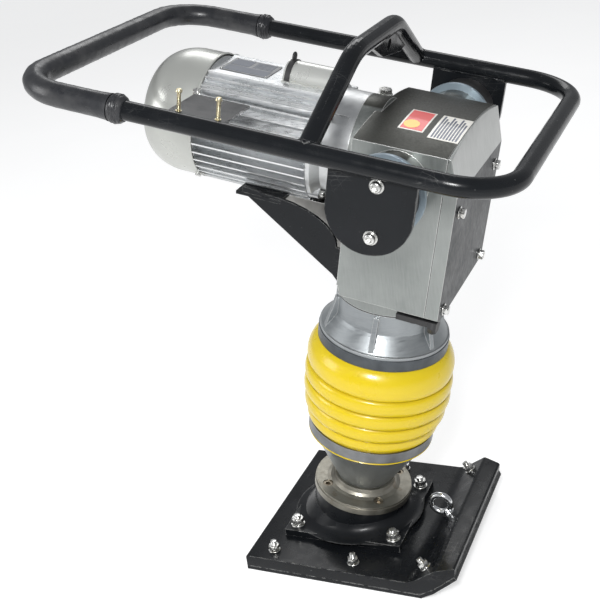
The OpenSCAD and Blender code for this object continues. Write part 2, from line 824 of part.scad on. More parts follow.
// Radial screws through the cowl's rim, Z outward from the cowl's skin
module at_cowl_screws() {
  on_motor(frame_u0 - 3) for (i = [0:3]) rotate([0, 0, 52 + 90*i]) translate([motor_r, 0, 0])
    rotate([0, 90, 0]) children();
}

module cowl_screws() {
  color("silver") at_cowl_screws() {
    translate([0, 0, -12]) cylinder(r = 2.5, h = 13, $fn = 32);
    cylinder(r1 = 5, r2 = 4, h = 3, $fn = 32);
  }
}

module capacitor() {
  color("white") on_leg() along_u(-188, 0, motor_w + pad_h + 7) cylinder(r = 15, h = 60);
}

module capacitor_cover() {
  cover_r = 25;
  color([0.8, 0.81, 0.8]) on_leg() difference() {
    union() {
      intersection() {
        along_u(-192, 0, motor_w + pad_h) cylinder(r = cover_r, h = 69);
        translate([-200, -50, motor_w + pad_h]) cube([100, 100, 50]);
      }
      translate([-192, -30, motor_w + pad_h]) cube([69, 60, 1.5]);
    }
    along_u(-190.5, 0, motor_w + pad_h) cylinder(r = cover_r - 1.5, h = 66);
  }
}

module motor_bracket() {
  plate_h = 62;
  color([0.1, 0.1, 0.11]) on_leg() difference() {
    union() {
      translate([case_rear - 6, -98, 502]) cube([6, 196, plate_h]);
      on_sides() translate([0, 95, 0]) rotate([90, 0, 0]) linear_extrude(5, center = true)
        polygon(concat([[case_rear - 2, 504], [-62, 520], [-212, 616], [-212, 624]],
          [for (k = [0:8]) [-178 + 118*sin(90*k/8), 564 + 56*cos(90*k/8)]],
          [[case_rear - 2, 562]]));
      on_sides() translate([-222, 62, 610]) cube([70, 36, 5]);
    }
    along_u(-300, 0, motor_w) cylinder(r = motor_r + 0.3, h = 250);
    along_u(-60, 0, gear_w) cylinder(r = 36, h = 30);
    at_bracket_bolts() translate([0, 0, -15]) cylinder(r = 5.2, h = 40, $fn = 32);
  }
}

// Z forward through the bracket into the crankcase's rear wall
module at_bracket_bolts() {
  for (s = [-1, 1]) for (w = [516, 548]) along_u(case_rear, s*81, w) children();
}

module bracket_bolts() {
  color("silver") on_leg() at_bracket_bolts() translate([0, 0, -6]) rotate([180, 0, 0])
    hex_screw(10, 16, 17, 7, 10);
}

module motor_knee() {
  half = 58;
  color([0.62, 0.62, 0.6]) on_leg() difference() {
    rotate([90, 0, 0]) linear_extrude(2*half, center = true)
      polygon([[case_rear - 6, 508], [case_rear - 6, 640], [-205, 640], [-205, 606], [-130, 575], [-72, 524]]);
    translate([-200, -half + 8, 490]) cube([140, 2*half - 16, 85]);
    along_u(-300, 0, motor_w) cylinder(r = motor_r + 0.3, h = 320);
    along_u(-60, 0, gear_w) cylinder(r = 36.2, h = 30);
  }
}

// ---------- handle mounts ----------

// Z outward across the machine at each handle mount, starting at distance v
module at_isolators(v) {
  for (s = [-1, 1]) translate([mount_u, s*v, mount_w]) rotate([-s*90, 0, 0]) children();
}

// Steel disc with the stud that screws into the crankcase's side boss
module isolator_discs() {
  color([0.55, 0.6, 0.64]) on_leg() {
    at_isolators(disc_v - 6) cylinder(r = 56, h = 6);
    at_isolators(disc_v - 26) cylinder(r = 8, h = 21, $fn = 48);
  }
}

module rubber_mounts() {
  color([0.08, 0.08, 0.08]) on_leg() difference() {
    at_isolators(disc_v) cylinder(r = 48, h = plate_v0 - disc_v);
    for (s = [-1, 1]) at_mount_bolts(s) translate([0, 0, -30]) cylinder(r = 7.8, h = 60, $fn = 32);
  }
}

// Z outward across the side plate, at its outer face
module at_mount_bolts(s) {
  for (d = [[7, -33], [7, 38]]) translate([mount_u + d[0], s*(plate_v0 + plate_t), mount_w + d[1]])
    rotate([-s*90, 0, 0]) children();
}

module mount_bolts() {
  color("silver") on_leg() for (s = [-1, 1]) at_mount_bolts(s) {
    translate([0, 0, -plate_t - 12]) cylinder(r = 5, h = plate_t + 12, $fn = 32);
    cylinder(r = 10, h = 2, $fn = 48);
    translate([0, 0, 2]) cylinder(r1 = 9, r2 = 6.5, h = 6, $fn = 48);
  }
}

module side_plates() {
  half = 59;
  top = handle_w - tube_r + 4;
  color([0.1, 0.1, 0.11]) on_leg() difference() {
    for (s = [-1, 1]) translate([mount_u, s*(plate_v0 + plate_t/2), 0]) {
      translate([-half, -plate_t/2, mount_w]) cube([2*half, plate_t, top - mount_w]);
      translate([0, -s*plate_t/2, mount_w]) rotate([-s*90, 0, 0]) cylinder(r = half, h = plate_t);
    }
    for (s = [-1, 1]) at_mount_bolts(s) translate([0, 0, -plate_t - 1]) cylinder(r = 5, h = plate_t + 2, $fn = 32);
    for (s = [-1, 1]) along_u(-200, s*handle_hw, handle_w) cylinder(r = tube_r, h = 400);
  }
}

// ---------- handle ----------

rear_r = 72;
front_r = 78;
tube_t = 2.6;

module straight(p, dir, len, r) {
  translate(p) rotate(dir) cylinder(r = r, h = len, $fn = 48);
}

// Quarter bend centred at p, from direction a0, radius bend
module bend(p, a0, bend_r, r) {
  translate(p) rotate([0, 0, a0]) rotate_extrude(angle = 90) translate([bend_r, 0]) circle(r = r, $fn = 48);
}

module loop_path(r, u_front) {
  for (s = [-1, 1]) straight([handle_rear + rear_r, s*handle_hw, 0], [0, 90, 0],
    u_front - handle_rear - rear_r, r);
  straight([handle_rear, -handle_hw + rear_r, 0], [-90, 0, 0], 2*(handle_hw - rear_r), r);
  bend([handle_rear + rear_r, handle_hw - rear_r, 0], 90, rear_r, r);
  bend([handle_rear + rear_r, -handle_hw + rear_r, 0], 180, rear_r, r);
}

module front_path(r) {
  straight([handle_front, -handle_hw + front_r, 0], [-90, 0, 0], 2*(handle_hw - front_r), r);
  bend([handle_front - front_r, handle_hw - front_r, 0], 0, front_r, r);
  bend([handle_front - front_r, -handle_hw + front_r, 0], 270, front_r, r);
}

module handle_loop() {
  color([0.09, 0.09, 0.1]) on_leg() translate([0, 0, handle_w]) difference() {
    union() {
      loop_path(tube_r, handle_front - front_r);
      front_path(tube_r);
    }
    loop_path(tube_r - tube_t, handle_front - front_r);
    front_path(tube_r - tube_t);
  }
}

grip_end = -345;
collar_len = 24;

module handle_grip() {
  color([0.13, 0.13, 0.13]) on_leg() translate([0, 0, handle_w]) difference() {
    union() {
      loop_path(18, grip_end);
      for (s = [-1, 1]) straight([grip_end - 4, s*handle_hw, 0], [0, 90, 0], collar_len, 21);
    }
    loop_path(tube_r, grip_end + collar_len + 10);
  }
}

arch_u = -68;
arch_w = 848;
arch_half = 87;
arch_r = 90;
gusset_t = 8;
lift_r = 9;
lift_v = 58;                   // lifting hole, across and up the leg
lift_w = arch_w - 26;
arch_a = atan2(arch_w - handle_w, handle_hw - arch_half);
arch_bend_v = arch_half - arch_r*tan(arch_a/2);

// One section of the arch: its centre across and up the leg, and its tilt
function arch_bend(s, t) = [s*(arch_bend_v + arch_r*sin(t)), arch_w - arch_r*(1 - cos(t)), s*t];
arch_steps = 6;
arch_sections = concat(
  [[handle_hw, handle_w, arch_a]],
  [for (i = [arch_steps:-1:0]) arch_bend(1, arch_a*i/arch_steps)],
  [for (i = [0:arch_steps]) arch_bend(-1, arch_a*i/arch_steps)],
  [[-handle_hw, handle_w, -arch_a]]);

module arch_path(r) {
  sides = 24;
  skin([for (c = arch_sections) [for (k = [0:sides - 1]) let (q = -360*k/sides)
    [arch_u + r*cos(q), c[0] + r*sin(q)*sin(c[2]), c[1] + r*sin(q)*cos(c[2])]]], sides);
}

// Crossbar arch with its lifting plate welded in the left corner
module handle_arch() {
  color([0.09, 0.09, 0.1]) on_leg() difference() {
    union() {
      arch_path(tube_r);
      translate([arch_u - gusset_t/2, 0, 0]) rotate([90, 0, 90]) linear_extrude(gusset_t) polygon([
        [-10, arch_w - 6], [-10, arch_w - 16], [35, arch_w - 38], [120, arch_w - 51], [150, arch_w - 44],
        [arch_half + 10, arch_w - 12], [arch_half - 20, arch_w - 4]]);
    }
    arch_path(tube_r - tube_t);
    along_u(arch_u - 10, lift_v, lift_w) cylinder(r = lift_r, h = 20, $fn = 48);
    for (s = [-1, 1]) along_u(-200, s*handle_hw, handle_w) cylinder(r = tube_r, h = 400, $fn = 48);
  }
}

switch_u = [-276, -192];
switch_v = -134;
switch_stud_v = -207;
switch_studs = [-262, -204];

// Bare mounting plate for a switch box, with its two upright studs
module switch_plate() {
  top = handle_w + 3;
  plate = 4;
  color([0.1, 0.1, 0.11]) on_leg() difference() {
    union() {
      translate([switch_u[0], -handle_hw, top - plate])
        cube([switch_u[1] - switch_u[0], handle_hw + switch_v, plate]);
      for (u = switch_studs) translate([u, switch_stud_v, top - 8]) cylinder(r = 2.3, h = 36, $fn = 32);
      for (u = switch_studs) translate([u, switch_stud_v, top + 27])
        cylinder(r1 = 4.2, r2 = 2.6, h = 3.4, $fn = 32);
    }
    along_u(-400, -handle_hw, handle_w) cylinder(r = tube_r, h = 400);
  }
}

wear_plate();
foot_board();
foot_bolts();
socket_base();
socket_bolts();
eye_bolt();
base_flange();
flange_screws();
leg_cone();
spring_cylinder();
cylinder_cap();
lower_springs();
upper_springs();
bump_stop();
lower_clamp();
bellows();
plunger_rod();
piston();
guide_cylinder();
guide_bush();
upper_clamp();
hub_gasket();
hub_bolts();
crankcase();
front_gasket();
front_cover();
cover_bolts();
ball_bearings();
shaft_seal();
breather_plug();
front_end_shield();
tie_bolts();
motor_frame();
stator_core();
stator_windings();
rear_end_shield();
fan_cowl();
cowl_screws();
capacitor();
capacitor_cover();
motor_bracket();
motor_knee();
bracket_bolts();
isolator_discs();
rubber_mounts();
drive_gear();
gear_shaft();
crankshaft();
connecting_rod();
wrist_pin();
motor_shaft();
rotor_core();
cooling_fan();
pinion();
handle_loop();
handle_grip();
handle_arch();
side_plates();
mount_bolts();
switch_plate();
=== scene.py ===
"""Electric tamping rammer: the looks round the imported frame.

The scene is in metres. Its own pieces are drawn in millimetres, most of them in the leg's frame
(X forward, Y across, Z up the leg), and LEG carries them into the shared frame.
"""
import math

import bmesh
import bpy
from mathutils import Matrix, Vector, noise


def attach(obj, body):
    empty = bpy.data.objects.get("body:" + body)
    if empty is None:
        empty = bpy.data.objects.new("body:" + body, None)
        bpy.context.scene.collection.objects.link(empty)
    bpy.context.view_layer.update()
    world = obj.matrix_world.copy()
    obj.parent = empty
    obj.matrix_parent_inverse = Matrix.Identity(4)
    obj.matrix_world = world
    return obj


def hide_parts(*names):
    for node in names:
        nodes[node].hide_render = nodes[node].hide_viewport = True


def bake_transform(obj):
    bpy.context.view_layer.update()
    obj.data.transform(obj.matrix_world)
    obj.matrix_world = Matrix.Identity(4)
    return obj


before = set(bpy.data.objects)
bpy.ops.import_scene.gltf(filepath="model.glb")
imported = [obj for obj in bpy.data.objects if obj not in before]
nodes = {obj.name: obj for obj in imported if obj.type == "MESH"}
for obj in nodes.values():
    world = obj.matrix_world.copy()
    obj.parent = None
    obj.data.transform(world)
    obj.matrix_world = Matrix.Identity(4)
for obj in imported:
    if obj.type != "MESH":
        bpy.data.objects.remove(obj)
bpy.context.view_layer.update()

MM = 0.001
LEAN = math.radians(12.5)
LEG = Matrix.Translation((-0.040, 0, 0)) @ Matrix.Rotation(LEAN, 4, "Y")

# Dimensions shared with the design, in millimetres: _U forward, _V across, _W up the leg
CUFF_R = 100
LOWER_CUFF = (209, 230)     # where each cuff starts and ends up the leg
UPPER_CUFF = (381, 399)
MOTOR_W = 683
MOTOR_R = 94
CROWN_R = 650
CROWN_W = 756
HANDLE_W = 758
HANDLE_HALF = 238
HANDLE_REAR = -498
TUBE_R = 13.45
REAR_BEND = 72              # radius of the loop's rear corners
GRIP_R = 18
GRIP_END = -345             # where the rubber sleeve stops on each rail
ARCH_U = -68
MOUNT_U = 22
MOUNT_W = 695
PLATE_OUT = 234             # outer face of the side plates
CASE_REAR = -45
COVER_FRONT = 108
BEVEL = math.radians(15.7)  # how far the cover's bevelled top faces up from straight ahead
BOARD_TOP = 27
FOOT_BOLT_X = (-135, 5)
FOOT_BOLT_Y = 137
TOE = ((108, 27), (148, 56))    # start and end of the toe slope: (forward, up)
COVER_BOLTS = [(s * 99, w) for s in (-1, 1) for w in (512, 663)]
BRACKET_BOLTS = [(s * 81, w) for s in (-1, 1) for w in (516, 548)]
MOUNT_BOLTS = ((7, -33), (7, 38))   # from the mount's centre
SWITCH_STUDS = (-262, -204)
SWITCH_V = -207
ARCH_RISE = math.radians(30.8)      # how steeply the arch's legs leave the rails
SOCKET_BOLTS = [(-31 + 85 * a, 76 * b) for a in (-1, 1) for b in (-1, 1)]


# ---------------------------------------------------------------- materials

class Graph:
    """A Principled material and short names for the nodes that feed it."""

    def __init__(self, name, color, rough, metal=0.0, **sockets):
        self.mat = bpy.data.materials.new(name)
        self.mat.use_nodes = True
        self.tree = self.mat.node_tree
        self.bsdf = self.tree.nodes["Principled BSDF"]
        self.place = self.new("ShaderNodeTexCoord").outputs["Object"]
        self.set("Base Color", (*color, 1))
        self.set("Roughness", rough)
        self.set("Metallic", metal)
        for key, value in sockets.items():
            self.set(key.replace("_", " "), value)

    def new(self, kind, **props):
        made = self.tree.nodes.new(kind)
        for key, value in props.items():
            setattr(made, key, value)
        return made

    def feed(self, node, key, value):
        """Links value if it is a socket, or else sets it."""
        if isinstance(value, bpy.types.NodeSocket):
            self.tree.links.new(value, node.inputs[key])
        else:
            node.inputs[key].default_value = value

    def set(self, key, value):
        self.feed(self.bsdf, key, value)

    def spot(self, stretch=(1, 1, 1), turn=(0, 0, 0)):
        """Object coordinates, stretched and turned."""
        made = self.new("ShaderNodeMapping")
        self.feed(made, "Vector", self.place)
        made.inputs["Rotation"].default_value = turn
        made.inputs["Scale"].default_value = stretch
        return made.outputs["Vector"]

    def noise(self, scale, detail=3.0, rough=0.5, at=None, warp=0.0):
        """Cloudy noise from 0 to 1."""
        made = self.new("ShaderNodeTexNoise")
        self.feed(made, "Vector", at or self.place)
        made.inputs["Scale"].default_value = scale
        made.inputs["Detail"].default_value = detail
        made.inputs["Roughness"].default_value = rough
        made.inputs["Distortion"].default_value = warp
        return made.outputs["Fac"]

    def cells(self, scale, at=None, feature="F1"):
        """Distances in a cell pattern."""
        made = self.new("ShaderNodeTexVoronoi", feature=feature)
        self.feed(made, "Vector", at or self.place)
        made.inputs["Scale"].default_value = scale
        return made.outputs["Distance"]

    def span(self, value, low, high, to_low=0.0, to_high=1.0):
        """Maps low..high to to_low..to_high and clamps."""
        made = self.new("ShaderNodeMapRange")
        self.feed(made, "Value", value)
        for key, number in zip(("From Min", "From Max", "To Min", "To Max"),
                               (low, high, to_low, to_high)):
            made.inputs[key].default_value = number
        return made.outputs["Result"]

    def math(self, kind, a, b=0.0):
        made = self.new("ShaderNodeMath", operation=kind)
        self.feed(made, 0, a)
        self.feed(made, 1, b)
        return made.outputs[0]

    def blend(self, share, a, b):
        """Colour a turning to colour b as share goes from 0 to 1."""
        made = self.new("ShaderNodeMix", data_type="RGBA", blend_type="MIX")
        self.feed(made, "Factor", share)
        for key, value in (("A", a), ("B", b)):
            socket = next(s for s in made.inputs if s.name == key and s.type == "RGBA")
            if isinstance(value, bpy.types.NodeSocket):
                self.tree.links.new(value, socket)
            else:
                socket.default_value = (*value, 1)
        return next(s for s in made.outputs if s.type == "RGBA")

    def edges(self, radius, gain=6.0):
        """1 along sharp edges and 0 on flats, from how far a rounded normal leans."""
        soft = self.new("ShaderNodeBevel", samples=4)
        soft.inputs["Radius"].default_value = radius
        dot = self.new("ShaderNodeVectorMath", operation="DOT_PRODUCT")
        self.feed(dot, 0, soft.outputs["Normal"])
        self.feed(dot, 1, self.new("ShaderNodeNewGeometry").outputs["Normal"])
        return self.math("MULTIPLY", self.math("SUBTRACT", 1.0, dot.outputs["Value"]), gain)

    def relief(self, height, strength=0.3, depth=0.0005, round_edges=0.0012):
        """Bump from height over edges rounded by a small radius."""
        bump = self.new("ShaderNodeBump")
        bump.inputs["Strength"].default_value = strength
        bump.inputs["Distance"].default_value = depth
        self.feed(bump, "Height", height)
        if round_edges:
            soft = self.new("ShaderNodeBevel", samples=4)
            soft.inputs["Radius"].default_value = round_edges
            self.feed(bump, "Normal", soft.outputs["Normal"])
        self.set("Normal", bump.outputs["Normal"])


def black_enamel(name, wear, rough=0.2, chipped=0.6):
    """Glossy black paint, scratched and chipped to grey steel along its edges."""
    g = Graph(name, (0.012, 0.013, 0.016), rough, Coat_Weight=0.06, Coat_Roughness=0.08,
              Specular_IOR_Level=0.2)
    cloud = g.noise(18, 4)
    scratch_a = g.cells(95, g.spot((0.06, 1, 1), (0.2, 0.1, 0.5)), "DISTANCE_TO_EDGE")
    scratch_b = g.cells(80, g.spot((1, 0.05, 1), (0.4, 0.3, 0.9)), "DISTANCE_TO_EDGE")
    lines = g.math("MAXIMUM", g.span(scratch_a, 0.0, 0.012, 1, 0),
                   g.span(scratch_b, 0.0, 0.010, 1, 0))
    patchy = g.math("MULTIPLY", lines, g.span(g.noise(9, 3), 0.60, 0.80))
    broken = g.span(g.noise(70, 5, 0.7), 0.42, 0.62)
    chips = g.span(g.math("MULTIPLY", g.edges(0.0022), broken), 0.25, chipped)
    specks = g.span(g.noise(240, 2), 0.76, 0.82)
    marks = g.math("MAXIMUM", g.math("MAXIMUM", patchy, chips), specks)
    worn = g.math("MINIMUM", g.math("MULTIPLY", marks, wear), 1.0)
    paint = g.blend(cloud, (0.004, 0.005, 0.006), (0.010, 0.011, 0.013))
    g.set("Base Color", g.blend(worn, paint, (0.34, 0.34, 0.33)))
    g.set("Roughness", g.math("ADD", g.span(g.noise(40, 5), 0.3, 0.8, rough - 0.06, rough + 0.14),
                              g.math("MULTIPLY", worn, 0.25)))
    g.relief(g.math("ADD", g.noise(60, 3), g.math("MULTIPLY", worn, -0.8)), 0.25, 0.0004)
    return g.mat


def cast_metal(name, light, dark, rough=0.42, grain=260, streak=(1, 1, 1), face=(), wear=0.5):
    """Cast and machined aluminium: grain, faint tool streaks, and brighter rubbed edges.

    face lists directions, the colour painted on the faces that look that way, and how closely they must:
    painted light and shade by which way a face turns.
    """
    g = Graph(name, light, rough, 0.85)
    broad = g.span(g.noise(14, 5, 0.55), 0.3, 0.72)
    fine = g.noise(grain, 3, 0.6)
    tool = g.noise(60, 4, 0.6, g.spot(streak, (0, -LEAN, 0)))
    base = g.blend(broad, dark, light)
    base = g.blend(g.span(tool, 0.35, 0.65, 0.0, 0.35), base, [min(1, c * 1.18) for c in light])
    # Painted light and shade: faces turned a listed way take a fixed lighter or darker tone.
    for facing, shade, near in face:
        lean = g.new("ShaderNodeVectorMath", operation="DOT_PRODUCT")
        g.feed(lean, 0, g.new("ShaderNodeNewGeometry").outputs["Normal"])
        lean.inputs[1].default_value = facing
        base = g.blend(g.span(lean.outputs["Value"], near, near + 0.02), base, shade)
    rubbed = g.math("MULTIPLY", g.span(g.edges(0.0018), 0.15, 0.8), wear)
    base = g.blend(rubbed, base, (0.9, 0.9, 0.88))
    stain = g.span(g.noise(7, 6, 0.65, warp=0.6), 0.6, 0.85, 0.0, 0.35)
    g.set("Base Color", g.blend(stain, base, [c * 0.55 for c in dark]))
    g.set("Roughness", g.math("ADD", g.span(tool, 0.3, 0.7, rough - 0.08, rough + 0.1),
                              g.span(broad, 0, 1, -0.04, 0.05)))
    height = g.math("ADD", g.math("MULTIPLY", fine, 0.7), g.math("MULTIPLY", tool, 0.5))
    g.relief(height, 0.22, 0.0003)
    return g.mat


def bright_steel(name, color, rough=0.25, stain=None):
    """Plated or turned steel with fine scuffs, and rust tints where asked."""
    g = Graph(name, color, rough, 1.0)
    scuff = g.noise(300, 4, 0.7)
    patch = g.noise(45, 4)
    base = g.blend(g.span(patch, 0.35, 0.7), color, [c * 0.72 for c in color])
    if stain:
        base = g.blend(g.span(g.noise(30, 6, 0.7, warp=0.4), 0.56, 0.74, 0.0, 0.75), base, stain)
    g.set("Base Color", base)
    g.set("Roughness", g.span(scuff, 0.3, 0.75, rough - 0.08, rough + 0.18))
    g.relief(scuff, 0.12, 0.0002, 0.0006)
    return g.mat


def plain_rubber(name, color, rough=0.55, pebble=500):
    """Rubber or dull plastic with a pebbled skin and a little dust."""
    g = Graph(name, color, rough)
    dust = g.span(g.noise(25, 5, 0.6), 0.5, 0.85, 0.0, 0.25)
    g.set("Base Color", g.blend(dust, color, (0.16, 0.155, 0.15)))
    g.set("Roughness", g.span(g.noise(60, 4), 0.3, 0.7, rough - 0.1, rough + 0.1))
    g.relief(g.noise(pebble, 3), 0.3, 0.0003, 0.0008)
    return g.mat


def bellows_plastic():
    """Glossy yellow polyurethane, darker down in the grooves from painted shade and a little grime, with
    dusty smudges.
    """
    g = Graph("bellows_yellow", (0.66, 0.49, 0.003), 0.34, Coat_Weight=0.25, Coat_Roughness=0.1,
              Subsurface_Weight=0.1)
    g.bsdf.inputs["Subsurface Radius"].default_value = (0.004, 0.003, 0.0005)
    # Painted shade with a little grime: the occlusion mask darkens the yellow in the grooves.
    hollow = g.new("ShaderNodeAmbientOcclusion", samples=8)
    hollow.inputs["Distance"].default_value = 0.012
    deep = g.span(hollow.outputs["AO"], 0.35, 0.85, 1, 0)
    tint = g.blend(g.noise(6, 3), (0.60, 0.44, 0.002), (0.70, 0.53, 0.004))
    groove_grime_and_shade = g.math("MULTIPLY", deep, g.span(g.noise(35, 4), 0.2, 0.7, 0.45, 1.0))
    smudge = g.span(g.noise(12, 6, 0.6, warp=0.8), 0.63, 0.8, 0, 0.25)
    body = g.blend(g.math("MULTIPLY", groove_grime_and_shade, 0.75), tint, (0.30, 0.19, 0.008))
    g.set("Base Color", g.blend(smudge, body, (0.45, 0.36, 0.08)))
    g.set("Roughness", g.span(g.noise(22, 4), 0.3, 0.75, 0.24, 0.40))
    g.relief(g.noise(16, 4), 0.12, 0.0008, 0)
    return g.mat


def painted_sheet(name, color, rough=0.32, metal=0.6):
    """Silver paint with a fine orange peel and a few rubbed patches."""
    g = Graph(name, color, rough, metal, Coat_Weight=0.25, Coat_Roughness=0.15)
    g.set("Base Color", g.blend(g.span(g.noise(8, 5), 0.3, 0.75), [c * 0.84 for c in color], color))
    g.set("Roughness", g.span(g.noise(30, 5), 0.3, 0.7, rough - 0.07, rough + 0.1))
    g.relief(g.noise(420, 2), 0.12, 0.0002, 0.0006)
    return g.mat


def print_coat(name, color, rough=0.3):
    """Printed film or screen ink on a label, slightly uneven."""
    g = Graph(name, color, rough, Coat_Weight=0.3)
    uneven = g.span(g.noise(90, 4), 0.35, 0.8, 0, 0.35)
    g.set("Base Color", g.blend(uneven, color, [c * 0.7 for c in color]))
    g.relief(g.noise(700, 2), 0.1, 0.0001, 0)
    return g.mat


UP_LEG = (math.sin(LEAN), 0, math.cos(LEAN))
FORWARD_LEG = (math.cos(LEAN), 0, -math.sin(LEAN))
SLOPE_LEG = (math.cos(BEVEL - LEAN), 0, math.sin(BEVEL - LEAN))
CASE_TONES = ((0.31, 0.325, 0.315), (0.215, 0.23, 0.222))

BLACK = black_enamel("black_frame_paint", 0.4)
BLACK_BOARD = black_enamel("black_board_paint", 0.75, 0.26)
BLACK_CAST = black_enamel("black_casting_paint", 0.8, 0.28)
BLACK_WEB = black_enamel("black_web_paint", 0.12, 0.3, 1.6)
# Painted shade: the case's upward-facing top takes a very dark tone.
CASE = cast_metal("case_aluminium", *CASE_TONES, 0.38, streak=(6, 6, 0.5),
                  face=[(UP_LEG, (0.052, 0.053, 0.046), 0.92)], wear=0.8)
# Painted light and shade: the cover's bevelled top slope is painted light grey as a highlight, its forward
# face near black as shade.
COVER = cast_metal("cover_aluminium", *CASE_TONES, 0.40, streak=(6, 6, 0.5),
                   face=[(SLOPE_LEG, (0.50, 0.51, 0.50), 0.97),
                         (FORWARD_LEG, (0.013, 0.016, 0.018), 0.975)], wear=0.5)
CONE = cast_metal("cone_casting", (0.34, 0.355, 0.35), (0.22, 0.23, 0.23), 0.40,
                  streak=(5, 5, 0.6))
KNEE = cast_metal("knee_casting", (0.52, 0.51, 0.49), (0.34, 0.335, 0.32), 0.5, grain=180)
DRUM = cast_metal("guide_casting", (0.33, 0.35, 0.36), (0.22, 0.235, 0.245), 0.42,
                  streak=(0.8, 0.8, 8))
MOTOR = cast_metal("motor_aluminium", (0.80, 0.81, 0.82), (0.58, 0.60, 0.61), 0.30,
                   streak=(0.4, 7, 7), wear=0.9)
BELL = cast_metal("motor_end_casting", (0.66, 0.67, 0.67), (0.44, 0.45, 0.46), 0.36, grain=200)
COWL = painted_sheet("cowl_paint", (0.52, 0.53, 0.50))
CAPACITOR_SHEET = painted_sheet("capacitor_cover_paint", (0.68, 0.69, 0.66), 0.28)
CLAMP = bright_steel("clamp_steel", (0.23, 0.235, 0.24), 0.36)
# The upper clamp's copy of the clamp steel is darker: painted shade under the drum's rim.
CLAMP_SHADED = bright_steel("clamp_steel_painted_shade", (0.105, 0.115, 0.125), 0.36)
ZINC = bright_steel("zinc_plate", (0.74, 0.74, 0.72), 0.24, (0.30, 0.24, 0.14))
BRASSY = bright_steel("yellow_zinc", (0.78, 0.70, 0.48), 0.26)
CHROME = bright_steel("bright_plate", (0.84, 0.85, 0.86), 0.16)
FLANGE = bright_steel("flange_steel", (0.34, 0.325, 0.28), 0.38, (0.17, 0.11, 0.06))
SCREW_DARK = bright_steel("screw_steel", (0.33, 0.29, 0.23), 0.38, (0.20, 0.12, 0.06))
SOLE = black_enamel("sole_paint", 1.3, 0.35)
GROUND = bright_steel("ground_steel", (0.66, 0.67, 0.68), 0.18)
GEAR = bright_steel("gear_steel", (0.42, 0.43, 0.45), 0.30)
RACE = bright_steel("race_steel", (0.75, 0.76, 0.78), 0.12)
SPRING = bright_steel("spring_steel", (0.22, 0.20, 0.18), 0.38)
BRONZE = bright_steel("bush_bronze", (0.66, 0.42, 0.20), 0.32)
CORE = cast_metal("laminations", (0.20, 0.20, 0.21), (0.12, 0.12, 0.13), 0.5, streak=(30, 1, 1))
COPPER = bright_steel("copper_wire", (0.62, 0.26, 0.12), 0.30)
DISC = painted_sheet("disc_paint", (0.34, 0.42, 0.48), 0.35, 0.5)
RUBBER = plain_rubber("black_rubber", (0.018, 0.018, 0.019))
GRIP = plain_rubber("grip_rubber", (0.014, 0.015, 0.018), 0.34, 260)
FAN = plain_rubber("fan_plastic", (0.03, 0.03, 0.033), 0.45, 300)
CAN = print_coat("capacitor_can", (0.75, 0.75, 0.72), 0.35)
BELLOWS = bellows_plastic()

FINISH = {
    "wear_plate": SOLE, "socket_base": BLACK_CAST, "eye_bolt": CHROME, "base_flange": FLANGE,
    "leg_cone": CONE, "spring_cylinder": GROUND, "cylinder_cap": GROUND, "bump_stop": RUBBER,
    "lower_clamp": CLAMP, "upper_clamp": CLAMP_SHADED, "plunger_rod": GROUND, "piston": GROUND,
    "guide_cylinder": DRUM, "guide_bush": BRONZE, "hub_gasket": RUBBER, "hub_bolts": ZINC,
    "crankcase": CASE, "front_gasket": RUBBER, "front_cover": COVER, "ball_bearings": RACE,
    "shaft_seal": RUBBER, "breather_plug": ZINC, "front_end_shield": BELL, "motor_frame": MOTOR,
    "stator_core": CORE, "stator_windings": COPPER, "rear_end_shield": BELL, "capacitor": CAN,
    "capacitor_cover": CAPACITOR_SHEET, "motor_bracket": BLACK, "motor_knee": KNEE,
    "isolator_discs": DISC, "rubber_mounts": RUBBER, "drive_gear": GEAR, "gear_shaft": GROUND,
    "crankshaft": GEAR, "connecting_rod": GEAR, "wrist_pin": GROUND, "motor_shaft": GROUND,
    "rotor_core": CORE, "cooling_fan": FAN, "pinion": GEAR, "handle_loop": BLACK,
    "handle_arch": BLACK, "side_plates": BLACK, "switch_plate": BLACK, "flange_screws": SCREW_DARK,
}
for node_name, finish in FINISH.items():
    for slot in nodes[node_name].material_slots:
        slot.material = finish


# ---------------------------------------------------------------- mesh tools

def piece(name, verts, faces, finish, body, slot, place=LEG):
    """Makes a smooth mesh with sharp edges from points in mm in the frame given by place.

    body is the body it rides, or a tuple (lower body, upper body, start, end); a tuple is not used beyond
    leaving the piece unattached with its placement baked into the mesh.
    """
    mesh = bpy.data.meshes.new(name)
    mesh.from_pydata([place @ (Vector(v) * MM) for v in verts], [], faces)
    bm = bmesh.new()
    bm.from_mesh(mesh)
    bmesh.ops.recalc_face_normals(bm, faces=bm.faces)
    bm.to_mesh(mesh)
    bm.free()
    mesh.materials.append(finish)
    made = bpy.data.objects.new(name, mesh)
    bpy.context.scene.collection.objects.link(made)
    mesh.shade_smooth()
    mesh.set_sharp_from_angle(angle=math.radians(38))
    if isinstance(body, tuple):
        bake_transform(made)
    else:
        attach(made, body)
    return made


class Parts:
    """Collects several shapes into one mesh."""

    def __init__(self):
        self.verts = []
        self.faces = []

    def add(self, shape, at=Matrix.Identity(4)):
        verts, faces = shape
        base = len(self.verts)
        self.verts += [at @ Vector(v) for v in verts]
        self.faces += [[base + i for i in f] for f in faces]


def skin(rings, closed_ends=True, loop=False):
    """Joins rings of equal count into a tube, with flat ends or in a closed loop."""
    count = len(rings[0])
    verts = [p for ring in rings for p in ring]
    last = len(rings) if loop else len(rings) - 1
    faces = []
    for i in range(last):
        j = (i + 1) % len(rings)
        for k in range(count):
            m = (k + 1) % count
            faces.append((i * count + k, i * count + m, j * count + m, j * count + k))
    if closed_ends and not loop:
        faces.append(tuple(range(count)))
        faces.append(tuple((len(rings) - 1) * count + k for k in range(count)))
    return verts, faces


